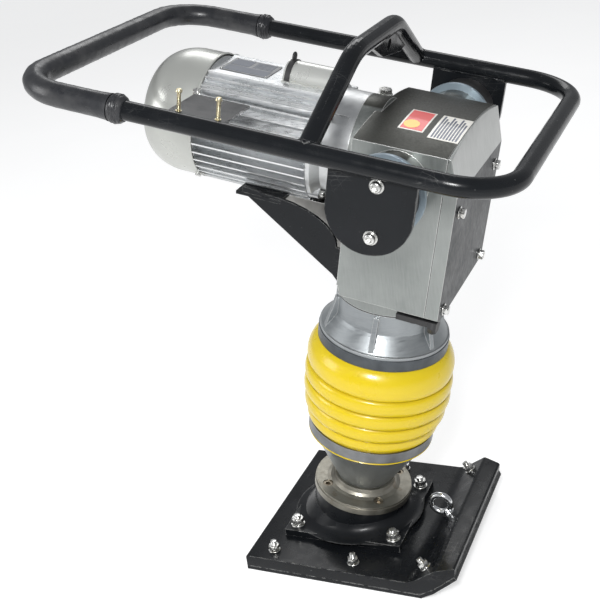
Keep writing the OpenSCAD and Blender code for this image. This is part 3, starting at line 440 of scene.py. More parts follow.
def revolve(profile, segments=64, closed=False, wobble=None):
    """Turns (radius, height) points about Z. A closed profile makes a ring with no ends."""
    rings = []
    for r, z in profile:
        ring = []
        for k in range(segments):
            a = 2 * math.pi * k / segments
            rr = r + (wobble(a, z) if wobble else 0)
            ring.append((rr * math.cos(a), rr * math.sin(a), z))
        rings.append(ring)
    return skin(rings, closed_ends=not closed, loop=closed)


def sweep(points, radius, sides=20, closed_ends=True):
    """A round bar along points; radius is a number or a function of the distance along."""
    pts = [Vector(p) for p in points]
    normal = None
    rings = []
    gone = 0.0
    for i, p in enumerate(pts):
        ahead = pts[min(i + 1, len(pts) - 1)]
        behind = pts[max(i - 1, 0)]
        tangent = (ahead - behind).normalized()
        if normal is None:
            normal = tangent.orthogonal().normalized()
        normal = (normal - tangent * normal.dot(tangent)).normalized()
        side = tangent.cross(normal)
        if i:
            gone += (p - pts[i - 1]).length
        ring = []
        for k in range(sides):
            a = 2 * math.pi * k / sides
            r = radius(gone, a) if callable(radius) else radius
            ring.append(p + normal * (r * math.cos(a)) + side * (r * math.sin(a)))
        rings.append(ring)
    return skin(rings, closed_ends)


def hex_bar(af, height, chamfer=1.0, per_side=6):
    """Hexagon head or nut with its corners turned off top and bottom."""
    rings = []
    half = af / 2
    corner = half / 0.866
    for z, cone in ((0, half + 0.2), (chamfer * 0.45, corner), (height - chamfer * 0.55, corner),
                    (height, half - 0.1), (height, half * 0.55)):
        ring = []
        for k in range(6 * per_side):
            a = 2 * math.pi * k / (6 * per_side)
            flat = half / math.cos((a + math.pi / 6) % (math.pi / 3) - math.pi / 6)
            r = min(flat, cone)
            ring.append((r * math.cos(a), r * math.sin(a), z))
        rings.append(ring)
    return skin(rings)


def washer(outer, inner, thick):
    """Flat washer on Z = 0 with its outer edges broken."""
    e = thick * 0.25
    return revolve([(inner, 0), (outer - e, 0), (outer, e), (outer, thick - e), (outer - e, thick),
                    (inner, thick)], 40, closed=True)


def spring_washer(outer, inner, thick, z=0.0):
    """Split ring whose two ends stand a little apart."""
    rings = []
    for k in range(41):
        a = math.radians(8 + 344 * k / 40)
        rise = z + 0.9 * k / 40
        rings.append([(r * math.cos(a), r * math.sin(a), rise + h) for r, h in
                      ((inner, 0), (outer, 0), (outer, thick), (inner, thick))])
    return skin(rings)


def thread(radius, z0, z1, pitch=1.5, sides=20):
    """Threaded bar: the radius follows a triangle wave that climbs one pitch a turn."""
    steps = max(2, int((z1 - z0) / pitch * 6))
    rings = []
    for i in range(steps + 1):
        z = z0 + (z1 - z0) * i / steps
        tip = 0.8 if i == steps else 0.0
        ring = []
        for k in range(sides):
            phase = (z / pitch - k / sides) % 1.0
            r = radius - 0.9 * abs(2 * phase - 1) * pitch * 0.5 - tip
            a = 2 * math.pi * k / sides
            ring.append((r * math.cos(a), r * math.sin(a), z))
        rings.append(ring)
    return skin(rings)


def stud_stack(d, washer_r, af, nut_h, tail, turn=0.0):
    """Washer, spring washer, nut and the thread's end, from Z = 0 up."""
    made = Parts()
    made.add(washer(washer_r, d / 2 + 0.3, 2.0))
    made.add(spring_washer(af * 0.5, d / 2 + 0.3, 1.6, 2.0))
    made.add(hex_bar(af, nut_h), Matrix.Translation((0, 0, 3.8)) @ Matrix.Rotation(turn, 4, "Z"))
    made.add(thread(d / 2, 1.0, 3.8 + nut_h + tail))
    return made.verts, made.faces


def head_stack(d, washer_r, af, head, turn=0.0):
    """Washer and hexagon head, with a short shank below Z = 0."""
    made = Parts()
    made.add(washer(washer_r, d / 2, 1.6))
    made.add(hex_bar(af, head), Matrix.Translation((0, 0, 1.6)) @ Matrix.Rotation(turn, 4, "Z"))
    made.add(revolve([(d / 2, -3), (d / 2, 1.7)], 24))
    return made.verts, made.faces


def turned_to(u, v, w, axis):
    """Place at a point with Z along axis."""
    z = Vector(axis).normalized()
    return Matrix.Translation((u, v, w)) @ z.to_track_quat("Z", "Y").to_matrix().to_4x4()


WORLD = Matrix.Identity(4)                        # for pieces that stand upright, like the foot's
FORWARD = Matrix.Rotation(math.pi / 2, 4, "Y")    # turns Z to the front


# ---------------------------------------------------------------- bellows

def bellows_profile():
    """Half section from the bottom cuff to the top one: (radius, height)."""
    # each fold's height, crest radius and where its crest lies in that height
    folds = [(21, 107.5, 0.5), (27, 114.5, 0.5), (27, 118, 0.5), (27, 118.5, 0.5), (48, 117, 0.34)]
    grooves = [100.5, 103.5, 109, 111.5, 112, 100.5]
    r0, w0 = CUFF_R, LOWER_CUFF[0]
    line = [(r0 - 2.9, w0 - 4), (r0 + 1.2, w0 - 4), (r0 + 2.4, w0 - 2.6), (r0 + 1.4, w0 - 1.2),
            (r0, w0 - 0.4), (r0, LOWER_CUFF[1] + 0.4)]
    z = LOWER_CUFF[1] + 1
    steps = 18
    for i, (tall, crest, peak) in enumerate(folds):
        for k in range(steps + 1):
            q = k / steps
            side = (peak - q) / peak if q < peak else (q - peak) / (1 - peak)
            flat, power = (2.4, 0.55) if q < peak or peak == 0.5 else (1.7, 0.8)
            lift = max(0.0, 1 - side ** flat) ** power
            foot = grooves[i] * (1 - q) + grooves[i + 1] * q
            if k or not i:
                line.append((foot + (crest - foot) * lift, z + tall * q))
        z += tall
    line += [(r0, UPPER_CUFF[0] + 0.6), (r0, UPPER_CUFF[1] - 0.4)]
    inner = [(r - 2.6, z) for r, z in reversed(line[5:-1])]
    return line + [(r0 - 2.6, UPPER_CUFF[1] - 0.4)] + inner + [(r0 - 2.9, LOWER_CUFF[0])]


def make_bellows():
    """The bellows, a little fuller at the front, with a mould seam down each side."""
    def wobble(a, z):
        seam = 0.35 * max(0.0, 1 - abs((a % math.pi) - 0.9) / 0.02)
        swell = math.sin(math.pi * min(1.0, max(0.0, (z - 232) / 148)))
        return (1.3 * math.cos(a) + 0.35 * math.sin(3 * a + z * 0.05)) * swell + seam * (swell > 0)
    made = piece("bellows_skin", *revolve(bellows_profile(), 144, closed=True, wobble=wobble),
                 BELLOWS, ("foot", "machine", 229, 380), "bellows_yellow")
    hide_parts("bellows")


def make_springs():
    """The spring sets between the closed ends of the cylinder and the piston."""
    def coil(w0, w1, r, t, turns):
        steps = turns * 28
        line = []
        for i in range(steps + 1):
            a = 2 * math.pi * turns * i / steps
            line.append((r * math.cos(a), r * math.sin(a), w0 + t + (w1 - w0 - 2 * t) * i / steps))
        return sweep(line, t, 10)
    for name, w0, w1, ends in (("lower", 96, 246, ("foot", "plunger")),
                               ("upper", 262, 386, ("plunger", "foot"))):
        both = Parts()
        both.add(coil(w0, w1, 28, 4.5, 7))
        both.add(coil(w0, w1, 18, 2.8, 9))
        made = piece(name + "_coils", both.verts, both.faces, SPRING, (*ends, w0 + 6, w1 - 6), "spring_steel")
        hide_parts(name + "_springs")


# ---------------------------------------------------------------- handle

def rear_path(u_end, step=6):
    """Centre line of the rear of the loop, from one rail round the bar to the other."""
    cu, cv = HANDLE_REAR + REAR_BEND, HANDLE_HALF - REAR_BEND
    line = []
    span = u_end - cu
    n = max(2, int(span / step))
    line += [(u_end - span * i / n, -HANDLE_HALF, HANDLE_W) for i in range(n)]
    for k in range(17):
        a = math.radians(270 - 90 * k / 16)
        line.append((cu + REAR_BEND * math.cos(a), -cv + REAR_BEND * math.sin(a), HANDLE_W))
    n = int(2 * cv / step)
    line += [(HANDLE_REAR, -cv + 2 * cv * i / n, HANDLE_W) for i in range(1, n)]
    for k in range(17):
        a = math.radians(180 - 90 * k / 16)
        line.append((cu + REAR_BEND * math.cos(a), cv + REAR_BEND * math.sin(a), HANDLE_W))
    n = max(2, int(span / step))
    line += [(cu + span * i / n, HANDLE_HALF, HANDLE_W) for i in range(1, n + 1)]
    return line


def make_grip():
    """The ribbed sleeve on the rear of the loop and the collars at its two ends."""
    path = rear_path(GRIP_END)
    length = sum((Vector(a) - Vector(b)).length for a, b in zip(path, path[1:]))

    def radius(s, a):
        wrinkle = 0.30 * noise.noise(Vector((s * 0.11, math.cos(a) * 2, math.sin(a) * 2)))
        ribs = 0.28 * math.sin(s * 0.55) * (1 if 0.18 < (s / length) < 0.82 else 0.4)
        seam = -0.5 * max(0.0, 1 - abs(math.cos(a * 0.5)) / 0.05)
        ends = 1.6 * (math.exp(-s / 9) + math.exp(-(length - s) / 9))
        return GRIP_R - 0.6 + wrinkle + ribs + seam + ends
    made = piece("grip_sleeve", *sweep(path, radius, 28, closed_ends=False), GRIP,
                 "handle", "grip_rubber")
    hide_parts("handle_grip")
    collars = Parts()
    for s in (-1, 1):
        ring = []
        for k in range(25):
            q = k / 24
            bulge = math.sin(math.pi * q) ** 0.55
            r = TUBE_R + 0.4 + (21 - TUBE_R - 1.2) * bulge + 0.5 * math.sin(q * 40) * bulge
            ring.append((r, -3 + 24 * q))
        collars.add(revolve(ring, 40, wobble=lambda a, z: 0.35 * math.sin(5 * a + z)),
                    Matrix.Translation((GRIP_END, s * HANDLE_HALF, HANDLE_W)) @ FORWARD)
    piece("grip_collars", collars.verts, collars.faces, GRIP, "handle", "grip_rubber")


def weld(points, thick, seed):
    """A rippled weld bead along points, as one mesh."""
    def radius(s, a):
        return thick * (0.86 + 0.14 * math.sin(s * 2.3)) + 0.25 * noise.noise(Vector((s * 0.4, a, seed)))
    return sweep(points, radius, 10)


def make_handle_welds():
    """Beads round the arch's legs on the rails and along the side plates' top edges."""
    beads = Parts()
    climb, run = math.sin(ARCH_RISE), math.cos(ARCH_RISE)
    for s in (-1, 1):
        saddle = []
        for k in range(41):
            a = 2 * math.pi * k / 40
            du, side = TUBE_R * math.cos(a), TUBE_R * math.sin(a)
            depth = math.sqrt(max(0.0, TUBE_R ** 2 - side ** 2 * 0.6)) * 0.82
            v = s * (HANDLE_HALF - depth * run + side * climb * 0.9)
            w = HANDLE_W + depth * climb + side * run * 0.9
            saddle.append((ARCH_U + du, v, w))
        beads.add(weld(saddle, 2.4, s))
        for out, drop, thick, seed in ((0.5, 12.6, 2.2, 3), (-8.5, 7.5, 2.0, 5)):
            line = [(MOUNT_U + x, s * (PLATE_OUT + out), HANDLE_W - drop) for x in range(-58, 59, 3)]
            beads.add(weld(line, thick, seed + s))
    piece("handle_welds", beads.verts, beads.faces, BLACK, "handle", "black_frame")


# ---------------------------------------------------------------- fasteners

def make_fasteners():
    """Threaded and chamfered screws in the places of the design's plain ones."""
    foot = Parts()
    tilt = math.atan2(TOE[1][1] - TOE[0][1], TOE[1][0] - TOE[0][0])
    middle = [(a + b) / 2 for a, b in zip(*TOE)]
    for s in (-1, 1):
        for i, x in enumerate(FOOT_BOLT_X):
            foot.add(stud_stack(10, 10, 16, 7.2, 8.0, 0.4 * i + s),
                     Matrix.Translation((x, s * FOOT_BOLT_Y, BOARD_TOP)))
        foot.add(stud_stack(10, 10, 16, 7.2, 8.0, 0.2),
                 turned_to(middle[0], s * FOOT_BOLT_Y, middle[1], (-math.sin(tilt), 0, math.cos(tilt))))
    made = piece("foot_studs", foot.verts, foot.faces, ZINC, "foot", "zinc", WORLD)
    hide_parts("foot_bolts")

    socket = Parts()
    for i, (x, y) in enumerate(SOCKET_BOLTS):
        socket.add(stud_stack(12, 12, 18.6, 9.2, 5.5, 0.5 * i),
                   Matrix.Translation((x, y, BOARD_TOP + 12)))
    made = piece("socket_studs", socket.verts, socket.faces, ZINC, "foot", "zinc", WORLD)
    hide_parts("socket_bolts")

    cover = Parts()
    for i, (v, w) in enumerate(COVER_BOLTS):
        cover.add(head_stack(8, 9, 13, 7, 0.3 * i), turned_to(COVER_FRONT, v, w, (1, 0, 0)))
    made = piece("cover_screws", cover.verts, cover.faces, ZINC, "machine", "zinc")
    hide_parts("cover_bolts")

    bracket = Parts()
    for i, (v, w) in enumerate(BRACKET_BOLTS):
        bracket.add(head_stack(10, 10, 17, 7, 0.45 * i),
                    turned_to(CASE_REAR - 6, v, w, (-1, 0, 0)))
    made = piece("bracket_screws", bracket.verts, bracket.faces, ZINC, "machine", "zinc")
    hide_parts("bracket_bolts")

    mounts = Parts()
    for s in (-1, 1):
        for du, dw in MOUNT_BOLTS:
            place = turned_to(MOUNT_U + du, s * PLATE_OUT, MOUNT_W + dw, (0, s, 0))
            mounts.add(washer(10, 5, 2), place)
            mounts.add(socket_head(15.5, 6.5), place @ Matrix.Translation((0, 0, 2)))
            mounts.add(revolve([(5, -8), (5, 2.2)], 24), place)
    made = piece("mount_screws", mounts.verts, mounts.faces, ZINC, "handle", "zinc")
    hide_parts("mount_bolts")

    ties = Parts()
    for k in range(4):
        a = math.radians(45 + 90 * k)
        ties.add(head_stack(6, 6.5, 10, 5, 0.2 * k),
                 turned_to(-106, 83 * math.cos(a), MOTOR_W + 83 * math.sin(a), (1, 0, 0)))
    made = piece("tie_screws", ties.verts, ties.faces, ZINC, "machine", "zinc")
    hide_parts("tie_bolts")

    cowl = Parts()
    for k in range(4):
        a = math.radians(52 + 90 * k)
        out = (0, -math.sin(a), math.cos(a))
        place = turned_to(-303, MOTOR_R * out[1], MOTOR_W + MOTOR_R * out[2], out)
        cowl.add(washer(6, 2.5, 1), place)
        cowl.add(hex_bar(8, 4, 0.6), place @ Matrix.Translation((0, 0, 1)))
        cowl.add(revolve([(2.5, -6), (2.5, 1.2)], 16), place)
    made = piece("cowl_studs", cowl.verts, cowl.faces, ZINC, "machine", "zinc")
    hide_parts("cowl_screws")


def socket_head(d, h):
    """Domed cap screw head with a hexagon socket."""
    r = d / 2
    rings = []
    seg = 36
    for radius, z in ((r, 0), (r, h * 0.45), (r * 0.93, h * 0.75), (r * 0.78, h * 0.95), (r * 0.62, h),
                      (None, h * 0.98), (None, h * 0.35)):
        ring = []
        for k in range(seg):
            a = 2 * math.pi * k / seg
            hexagon = r * 0.5 / math.cos((a + math.pi / 6) % (math.pi / 3) - math.pi / 6)
            reach = radius or min(hexagon, r * 0.6)
            ring.append((reach * math.cos(a), reach * math.sin(a), z))
        rings.append(ring)
    return skin(rings)


# ---------------------------------------------------------------- motor

def dome_line(inset):
    """Section of the cowl from its rim to the middle of the rear face."""
    rim, knee, back = -300.5, -338, -401
    face_r = 40  # radius of the flat rear face
    line = [(MOTOR_R - inset, rim), (MOTOR_R - inset, rim - 3)]
    line += [(MOTOR_R - inset, knee + (rim - knee) * k / 4) for k in (3, 2, 1, 0)]
    for k in range(1, 29):
        q = k / 28
        a = math.pi / 2 * q
        r = face_r + (MOTOR_R - inset - face_r) * math.cos(a) ** 0.9
        line.append((r, knee + (back + inset - knee) * math.sin(a)))
    return line


def make_fan_cowl():
    """Pressed cowl with a rolled rim and a ringed grille on its rear face."""
    outer = dome_line(0)
    inner = dome_line(1.6)
    seg = 144
    shell = Parts()
    shell.add(revolve(outer + list(reversed(inner)), seg, closed=True))
    back = outer[-1][1]
    for r0, r1 in ((33.5, 40.2), (24.5, 30), (15.5, 21), (0.01, 12)):
        shell.add(revolve([(r1, back), (r1, back + 1.6), (r0, back + 1.6), (r0, back)], 72,
                          closed=True))
    for k in range(6):
        spoke = [(x, y, z) for x in (8, 38) for y in (-3, 3) for z in (back + 0.1, back + 1.5)]
        sides = [(0, 1, 3, 2), (4, 5, 7, 6), (0, 1, 5, 4), (2, 3, 7, 6), (0, 2, 6, 4), (1, 3, 7, 5)]
        shell.add((spoke, sides), Matrix.Rotation(math.radians(60 * k), 4, "Z"))
    shell.add(revolve([(MOTOR_R, -301), (MOTOR_R + 0.7, -302), (MOTOR_R + 0.7, -303.6),
                       (MOTOR_R, -304.6)], seg, closed=True))
    place = LEG @ Matrix.Translation((0, 0, MOTOR_W * MM)) @ FORWARD
    made = piece("cowl_shell", shell.verts, shell.faces, COWL, "machine", "cowl_paint", place)
    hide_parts("fan_cowl")


def make_motor_trim():
    """Rating plate with its rivets, and the strap with its loop round the capacitor cover."""
    pad = MOTOR_W + 83
    plate = Parts()
    plate.add(slab(-290, -214, -30, 30, pad + 0.1, pad + 1.0, 2))
    piece("rating_plate", plate.verts, plate.faces, CLAMP, "machine", "clamp_steel")
    bars = Parts()
    print_w = (pad + 1.0, pad + 1.25)
    bars.add(slab(-286, -218, -26, -4, *print_w, 1))
    bars.add(slab(-286, -256, 0, 26, *print_w, 1))
    for k in range(5):
        bars.add(slab(-250, -220, 1 + 5.4 * k, 3.6 + 5.4 * k, *print_w, 0.4))
    piece("rating_print", bars.verts, bars.faces, PLATE_INK, "machine", "cowl_paint")
    pins = Parts()
    for u in (-287, -217):
        for v in (-27.5, 27.5):
            pins.add(revolve([(1.8, 0), (1.8, 0.5), (1.3, 1.1), (0.5, 1.4)], 16),
                     Matrix.Translation((u, v, pad + 0.9)))
    piece("plate_rivets", pins.verts, pins.faces, ZINC, "machine", "zinc")

    strap = Parts()
    arc = [(26.6 * math.cos(math.radians(a)), 26.6 * math.sin(math.radians(a)))
           for a in range(0, 181, 6)]
    outline = arc + [(y * 0.955, z * 0.955) for y, z in reversed(arc)]
    strap.add(skin([[(u, y, pad + z) for y, z in outline] for u in (-189, -181)]))
    turns = [2 * math.pi * k / 28 for k in range(29)]
    loop = [(-185, 4.6 * math.sin(t), pad + 31 - 5 * math.cos(t)) for t in turns]
    strap.add(sweep(loop, 2.0, 10))
    piece("capacitor_strap", strap.verts, strap.faces, RUBBER, "machine", "black_rubber")


def slab(u0, u1, v0, v1, w0, w1, corner):
    """Flat plate with rounded corners of radius corner."""
    ring = []
    for cu, cv, a0 in ((u1 - corner, v1 - corner, 0), (u0 + corner, v1 - corner, 90),
                       (u0 + corner, v0 + corner, 180), (u1 - corner, v0 + corner, 270)):
        for k in range(5):
            a = math.radians(a0 + 22.5 * k)
            ring.append((cu + corner * math.cos(a), cv + corner * math.sin(a)))
    return skin([[(x, y, w0) for x, y in ring], [(x, y, w1) for x, y in ring]])


# ---------------------------------------------------------------- labels

INK = print_coat("dark_ink", (0.035, 0.05, 0.10))
PLATE_INK = print_coat("plate_ink", (0.09, 0.105, 0.14))
RED = print_coat("red_film", (0.72, 0.02, 0.015))
YELLOW = print_coat("yellow_film", (0.95, 0.55, 0.01))
WHITE = print_coat("white_film", (0.82, 0.80, 0.74))


def crown_w(lift, v):
    """Height of the crankcase's crown at v across, raised by lift."""
    return CROWN_W - CROWN_R + math.sqrt((CROWN_R + lift) ** 2 - v * v)


def crown_patch(u0, u1, v0, v1, lift, thick=0.2):
    """A thin sheet lying on the crankcase's crown."""
    nu, nv = 12, 16
    verts = []
    for z in (lift, lift + thick):
        for i in range(nu + 1):
            for j in range(nv + 1):
                u = u0 + (u1 - u0) * i / nu
                v = v0 + (v1 - v0) * j / nv
                verts.append((u, v, crown_w(z, v)))
    faces = []
    layer = (nu + 1) * (nv + 1)
    for i in range(nu):
        for j in range(nv):
            a = i * (nv + 1) + j
            b = a + nv + 1
            faces.append((a, a + 1, b + 1, b))
            faces.append((layer + a, layer + b, layer + b + 1, layer + a + 1))
    rim = [i * (nv + 1) for i in range(nu + 1)] + [nu * (nv + 1) + j for j in range(1, nv + 1)]
    rim += [i * (nv + 1) + nv for i in range(nu - 1, -1, -1)] + [j for j in range(nv - 1, 0, -1)]
    for k, a in enumerate(rim):
        b = rim[(k + 1) % len(rim)]
        faces.append((a, b, layer + b, layer + a))
    return verts, faces


def crown_disc(cu, cv, ru, rv, lift, thick=0.15):
    """A thin oval on the crown."""
    rings = []
    for z in (lift, lift + thick):
        for q in ((1.0,) if z == lift else (1.0, 0.7, 0.35, 0.02)):
            ring = []
            for k in range(40):
                a = 2 * math.pi * k / 40
                u, v = cu + ru * q * math.cos(a), cv + rv * q * math.sin(a)
                ring.append((u, v, crown_w(z, v)))
            rings.append(ring)
    return skin(rings)


def make_labels():
    """Plain colour blocks and bars where the machine carries its labels."""
    white = Parts()
    white.add(crown_patch(0, 36, -72, 0, 0.05))
    piece("label_border", white.verts, white.faces, WHITE, "machine", "capacitor_plastic")
    red = Parts()
    red.add(crown_patch(2.5, 33.5, -69, -3, 0.3))
    piece("label_red", red.verts, red.faces, RED, "machine", "capacitor_plastic")
    sun = Parts()
    sun.add(crown_disc(14, -52, 11, 13, 0.5))
    piece("label_yellow", sun.verts, sun.faces, YELLOW, "machine", "capacitor_plastic")

    plate = Parts()
    plate.add(crown_patch(45, 88, -82, 0, 0.05, 0.5))
    piece("data_plate", plate.verts, plate.faces, WHITE, "machine", "clamp_steel")
    bars = Parts()
    for k in range(9):
        u = 48.5 + 4.2 * k
        bars.add(crown_patch(u, u + 2.6, -79, -4 - 9 * (k % 3), 0.6, 0.15))
    piece("data_bars", bars.verts, bars.faces, INK, "machine", "clamp_steel")


# ---------------------------------------------------------------- foot

def board_outline():
    """Section of the foot board, with arcs at its two bends."""
    def fillet(a, b, c, radius, steps=8):
        a, b, c = Vector(a), Vector(b), Vector(c)
        d0, d1 = (a - b).normalized(), (c - b).normalized()
        angle = d0.angle(d1)
        reach = radius / math.tan(angle / 2)
        middle = b + (d0 + d1).normalized() * (radius / math.sin(angle / 2))
        start, end = b + d0 * reach - middle, b + d1 * reach - middle
        out = []
        turn = math.atan2(start.x * end.y - start.y * end.x, start.dot(end))
        for k in range(steps + 1):
            t = turn * k / steps
            out.append((middle.x + start.x * math.cos(t) - start.y * math.sin(t),
                        middle.y + start.x * math.sin(t) + start.y * math.cos(t)))
        return out
    sole = math.atan2(34, 55)
    low = [(-177, 7), (125 - 7 * math.tan(sole / 2), 7),
           (180 - 7 * math.sin(sole), 34 + 7 * math.cos(sole))]
    top = [(179, 56), TOE[1], TOE[0], (-177, BOARD_TOP)]
    line = [low[0]] + fillet(low[0], low[1], low[2], 30) + [low[2]]
    line += fillet(low[2], top[0], top[1], 3, 3) + fillet(top[0], top[1], top[2], 14)
    line += fillet(top[1], top[2], top[3], 34) + [(-40, BOARD_TOP), (-110, BOARD_TOP)]
    line += fillet(top[2], top[3], low[0], 3, 3)
    return line


def make_board():
    """The foot board: corners cut off at the toe, edges rounded, long sides slightly knocked."""
    half, corner_u, corner_v = 162.5, 34, 16
    outline = board_outline()
    lanes = [-1, -0.985, -0.94, -0.8, -0.6, -0.4, -0.2, 0, 0.2, 0.4, 0.6, 0.8, 0.94, 0.985, 1]
    rings = [[(x, half * lane, z) for x, z in outline] for lane in lanes]
    verts, faces = skin(rings)
    bm = bmesh.new()
    made = [bm.verts.new(v) for v in verts]
    for f in faces:
        bm.faces.new([made[i] for i in f])
    for s in (-1, 1):
        point = Vector((180 - corner_u, s * half, 0))
        normal = Vector((corner_v, s * corner_u, 0)).normalized()
        cut = bmesh.ops.bisect_plane(bm, geom=bm.verts[:] + bm.edges[:] + bm.faces[:],
                                     plane_co=point, plane_no=normal, clear_outer=True)
        rim = [e for e in cut["geom_cut"] if isinstance(e, bmesh.types.BMEdge)]
        bmesh.ops.holes_fill(bm, edges=rim)
    bmesh.ops.recalc_face_normals(bm, faces=bm.faces)
    sharp = [e for e in bm.edges
             if len(e.link_faces) == 2 and e.calc_face_angle(0) > math.radians(40)]
    bmesh.ops.bevel(bm, geom=sharp, offset=1.4, segments=3, profile=0.6, affect="EDGES",
                    clamp_overlap=True)
    bmesh.ops.triangulate(bm, faces=[f for f in bm.faces if len(f.verts) > 4])
    for v in bm.verts:
        knock = max(0.0, abs(v.co.y) / half - 0.97) * 33
        v.co.z += 0.7 * knock * noise.noise(Vector((v.co.x * 0.06, v.co.y * 0.02, v.co.z * 0.05)))
    verts = [v.co.copy() for v in bm.verts]
    index = {v: i for i, v in enumerate(bm.verts)}
    faces = [[index[v] for v in f.verts] for f in bm.faces]
    bm.free()
    board = piece("board_body", verts, faces, BLACK_BOARD, "foot", "black_board", WORLD)
    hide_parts("foot_board")


def make_casting_web():
    """Cast fillet round the riser's foot, reaching out towards the four corner bolts."""
    web = Parts()
    lean = math.tan(LEAN)
    rings = []
    for r_off, z in ((24, 37.8), (16, 39.3), (9.5, 41.3), (4.5, 45), (1.4, 50), (0.2, 56)):
        ring = []
        for k in range(96):
            a = 2 * math.pi * k / 96
            pull = 1 + 0.55 * max(0.0, math.cos(4 * (a - math.radians(42)))) ** 2
            r = 79 + 11 * max(0.0, (54 - z) / 26) + r_off * pull
            ring.append((-40 + z * lean + r * math.cos(a) / math.cos(LEAN) ** 0.5, r * math.sin(a), z))
        rings.append(ring)
    for z in (55.5, 37.8):
        around = [2 * math.pi * k / 96 for k in range(96)]
        rings.append([(-40 + z * lean + 74 * math.cos(a), 74 * math.sin(a), z) for a in around])
    web.add(skin(rings, loop=True))
    piece("socket_fillet", web.verts, web.faces, BLACK_WEB, "foot", "black_casting", WORLD)


def make_corner_seal_and_shade():
    """Strip of sealing rubber under the case's lower right edge, and a dark block at its corner: partly a
    real seal, partly painted shade under the overhanging case.
    """
    seal_and_shade = Parts()
    strip = []
    for k in range(19):
        u = 46 + 3 * k
        drop = 1.2 * noise.noise(Vector((u * 0.15, 0, 0)))
        strip.append([(u, -119, 496.5), (u, -105, 496.5), (u, -103, 487 + drop), (u, -108, 484 + drop),
                      (u, -117, 487 + drop)])
    seal_and_shade.add(skin(strip))
    # Painted shade: the corner block is dark rubber where the case's overhang throws shade.
    block = []
    for k in range(9):
        u = 94 + 1.6 * k
        bulge = 3 * math.sin(math.pi * k / 8)
        block.append([(u, -121, 498), (u, -100, 498), (u, -97 + bulge, 486), (u, -104, 479 - bulge),
                      (u, -118, 481 - bulge), (u, -122 - bulge, 489)])
    seal_and_shade.add(skin(block))
    piece("corner_seal_and_shade", seal_and_shade.verts, seal_and_shade.faces, RUBBER, "machine", "black_rubber")


def make_clamp_screws():
    """Worm screw housings that close the two band clamps, on the machine's left side."""
    along = Matrix.Rotation(-math.pi / 2, 4, "X")
    # The upper housing takes the darker clamp steel, which is painted shade.
    for name, body, w, finish in (("lower_clamp_screw", "foot", 218, CLAMP),
                                  ("upper_clamp_screw", "machine", 390, CLAMP_SHADED)):
        box = Parts()
        place = Matrix.Rotation(math.radians(118), 4, "Z") @ Matrix.Translation((CUFF_R + 7.2, 0, w))
        box.add(slab(-4.6, 4.6, -9, 9, -6.5, 6.5, 2), place)
        box.add(hex_bar(7, 6, 0.6), place @ Matrix.Translation((0.6, 9, 0)) @ along)
        box.add(revolve([(3.4, -10), (3.4, 10)], 20), place @ Matrix.Translation((0.6, 0, 0)) @ along)
        piece(name, box.verts, box.faces, finish, body, "clamp_steel")


def make_bracket_welds():
    """Beads up both sides of the bracket's back plate."""
    beads = Parts()
    for s in (-1, 1):
        for side in (92, 98):
            line = [(CASE_REAR - 7, s * side, w) for w in range(506, 562, 3)]
            beads.add(weld(line, 1.8, side * s))
    piece("bracket_welds", beads.verts, beads.faces, BLACK, "machine", "black_frame")


def make_switch_studs():
    """The two thin yellow-zinc screws that stand on the bare switch plate."""
    studs = Parts()
    for u in SWITCH_STUDS:
        at = Matrix.Translation((u, SWITCH_V, HANDLE_W + 3))
        studs.add(revolve([(4.2, 0), (4.2, 1.2), (2.4, 1.3), (2.4, 1.4)], 24), at)
        studs.add(thread(2.9, 0, 27, 0.9, 14), at)
        studs.add(revolve([(2.0, 26.2), (4.6, 26.4), (4.6, 28.2), (3.6, 30.4), (1.2, 31.2)], 24),
                  at)
    piece("switch_screws", studs.verts, studs.faces, BRASSY, "handle", "zinc")


make_bellows()
make_springs()
make_grip()
make_handle_welds()
make_fasteners()
make_fan_cowl()
make_motor_trim()
make_labels()
make_board()
make_casting_web()
make_corner_seal_and_shade()
make_clamp_screws()
make_bracket_welds()
make_switch_studs()


# ---------------------------------------------------------------- camera, light and floor

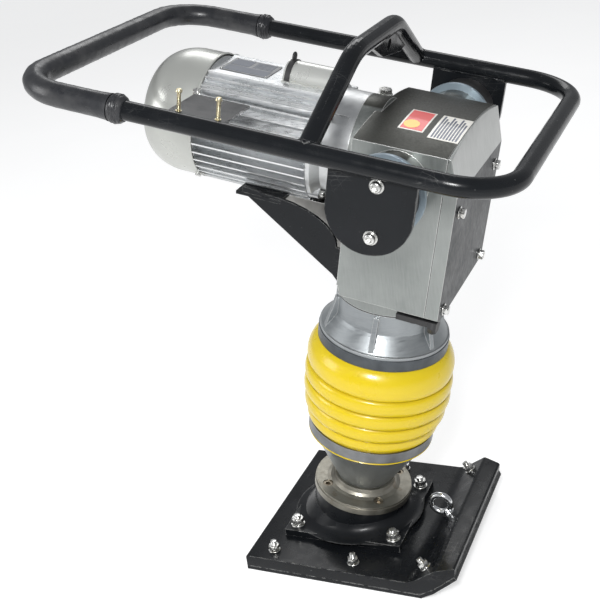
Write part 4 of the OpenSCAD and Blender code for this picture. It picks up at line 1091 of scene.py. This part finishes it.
def make_camera():
    """Standing in front and to the right, looking down a little, slightly tilted."""
    yaw, pitch, roll = 0.4536006, 0.4290889, -0.1357457
    stand = (0.6098, -1.4411, 1.1598)
    data = bpy.data.cameras.new("camera")
    data.sensor_width = 36
    data.lens = 66.04
    back = Vector((math.sin(yaw) * math.cos(pitch), -math.cos(yaw) * math.cos(pitch), math.sin(pitch)))
    right = Vector((math.cos(yaw), math.sin(yaw), 0))
    up = back.cross(right)
    side = right * math.cos(roll) + up * math.sin(roll)
    top = up * math.cos(roll) - right * math.sin(roll)
    made = bpy.data.objects.new("camera", data)
    made.matrix_world = Matrix.Translation(stand) @ Matrix((side, top, back)).transposed().to_4x4()
    bpy.context.scene.collection.objects.link(made)
    bpy.context.scene.camera = made


def make_light(name, at, size, power, target=(0, 0, 0.45)):
    """A white area light aimed at the machine's middle."""
    data = bpy.data.lights.new(name, "AREA")
    data.shape = "RECTANGLE"
    data.size, data.size_y = size
    data.energy = power
    made = bpy.data.objects.new(name, data)
    made.location = at
    made.rotation_euler = (Vector(target) - Vector(at)).to_track_quat("-Z", "Y").to_euler()
    bpy.context.scene.collection.objects.link(made)


def make_floor():
    """Plain white floor that glows a little, so the ground stays pale round the machine."""
    g = Graph("floor_white", (0.58, 0.58, 0.58), 0.8, Emission_Color=(1, 1, 1, 1),
              Emission_Strength=0.62)
    g.set("Base Color", g.blend(g.noise(3, 3), (0.56, 0.56, 0.56), (0.60, 0.60, 0.60)))
    mesh = bpy.data.meshes.new("floor")
    mesh.from_pydata([(-12, -12, 0), (12, -12, 0), (12, 12, 0), (-12, 12, 0)], [], [(0, 1, 2, 3)])
    mesh.materials.append(g.mat)
    made = bpy.data.objects.new("floor", mesh)
    bpy.context.scene.collection.objects.link(made)


def make_world():
    """Even, faintly blue daylight all round."""
    world = bpy.data.worlds.new("studio")
    world.use_nodes = True
    sky = world.node_tree.nodes["Background"]
    sky.inputs["Color"].default_value = (0.95, 0.97, 1.0, 1)
    sky.inputs["Strength"].default_value = 0.36
    bpy.context.scene.world = world


make_camera()
make_floor()
make_world()
make_light("key", (0.5, -1.6, 1.62), (0.34, 0.34), 34)
make_light("left", (-2.4, -1.4, 1.6), (1.2, 1.6), 26)
make_light("back", (-0.9, 2.6, 2.9), (2.0, 1.2), 24)
bpy.context.scene.view_settings.view_transform = "Standard"
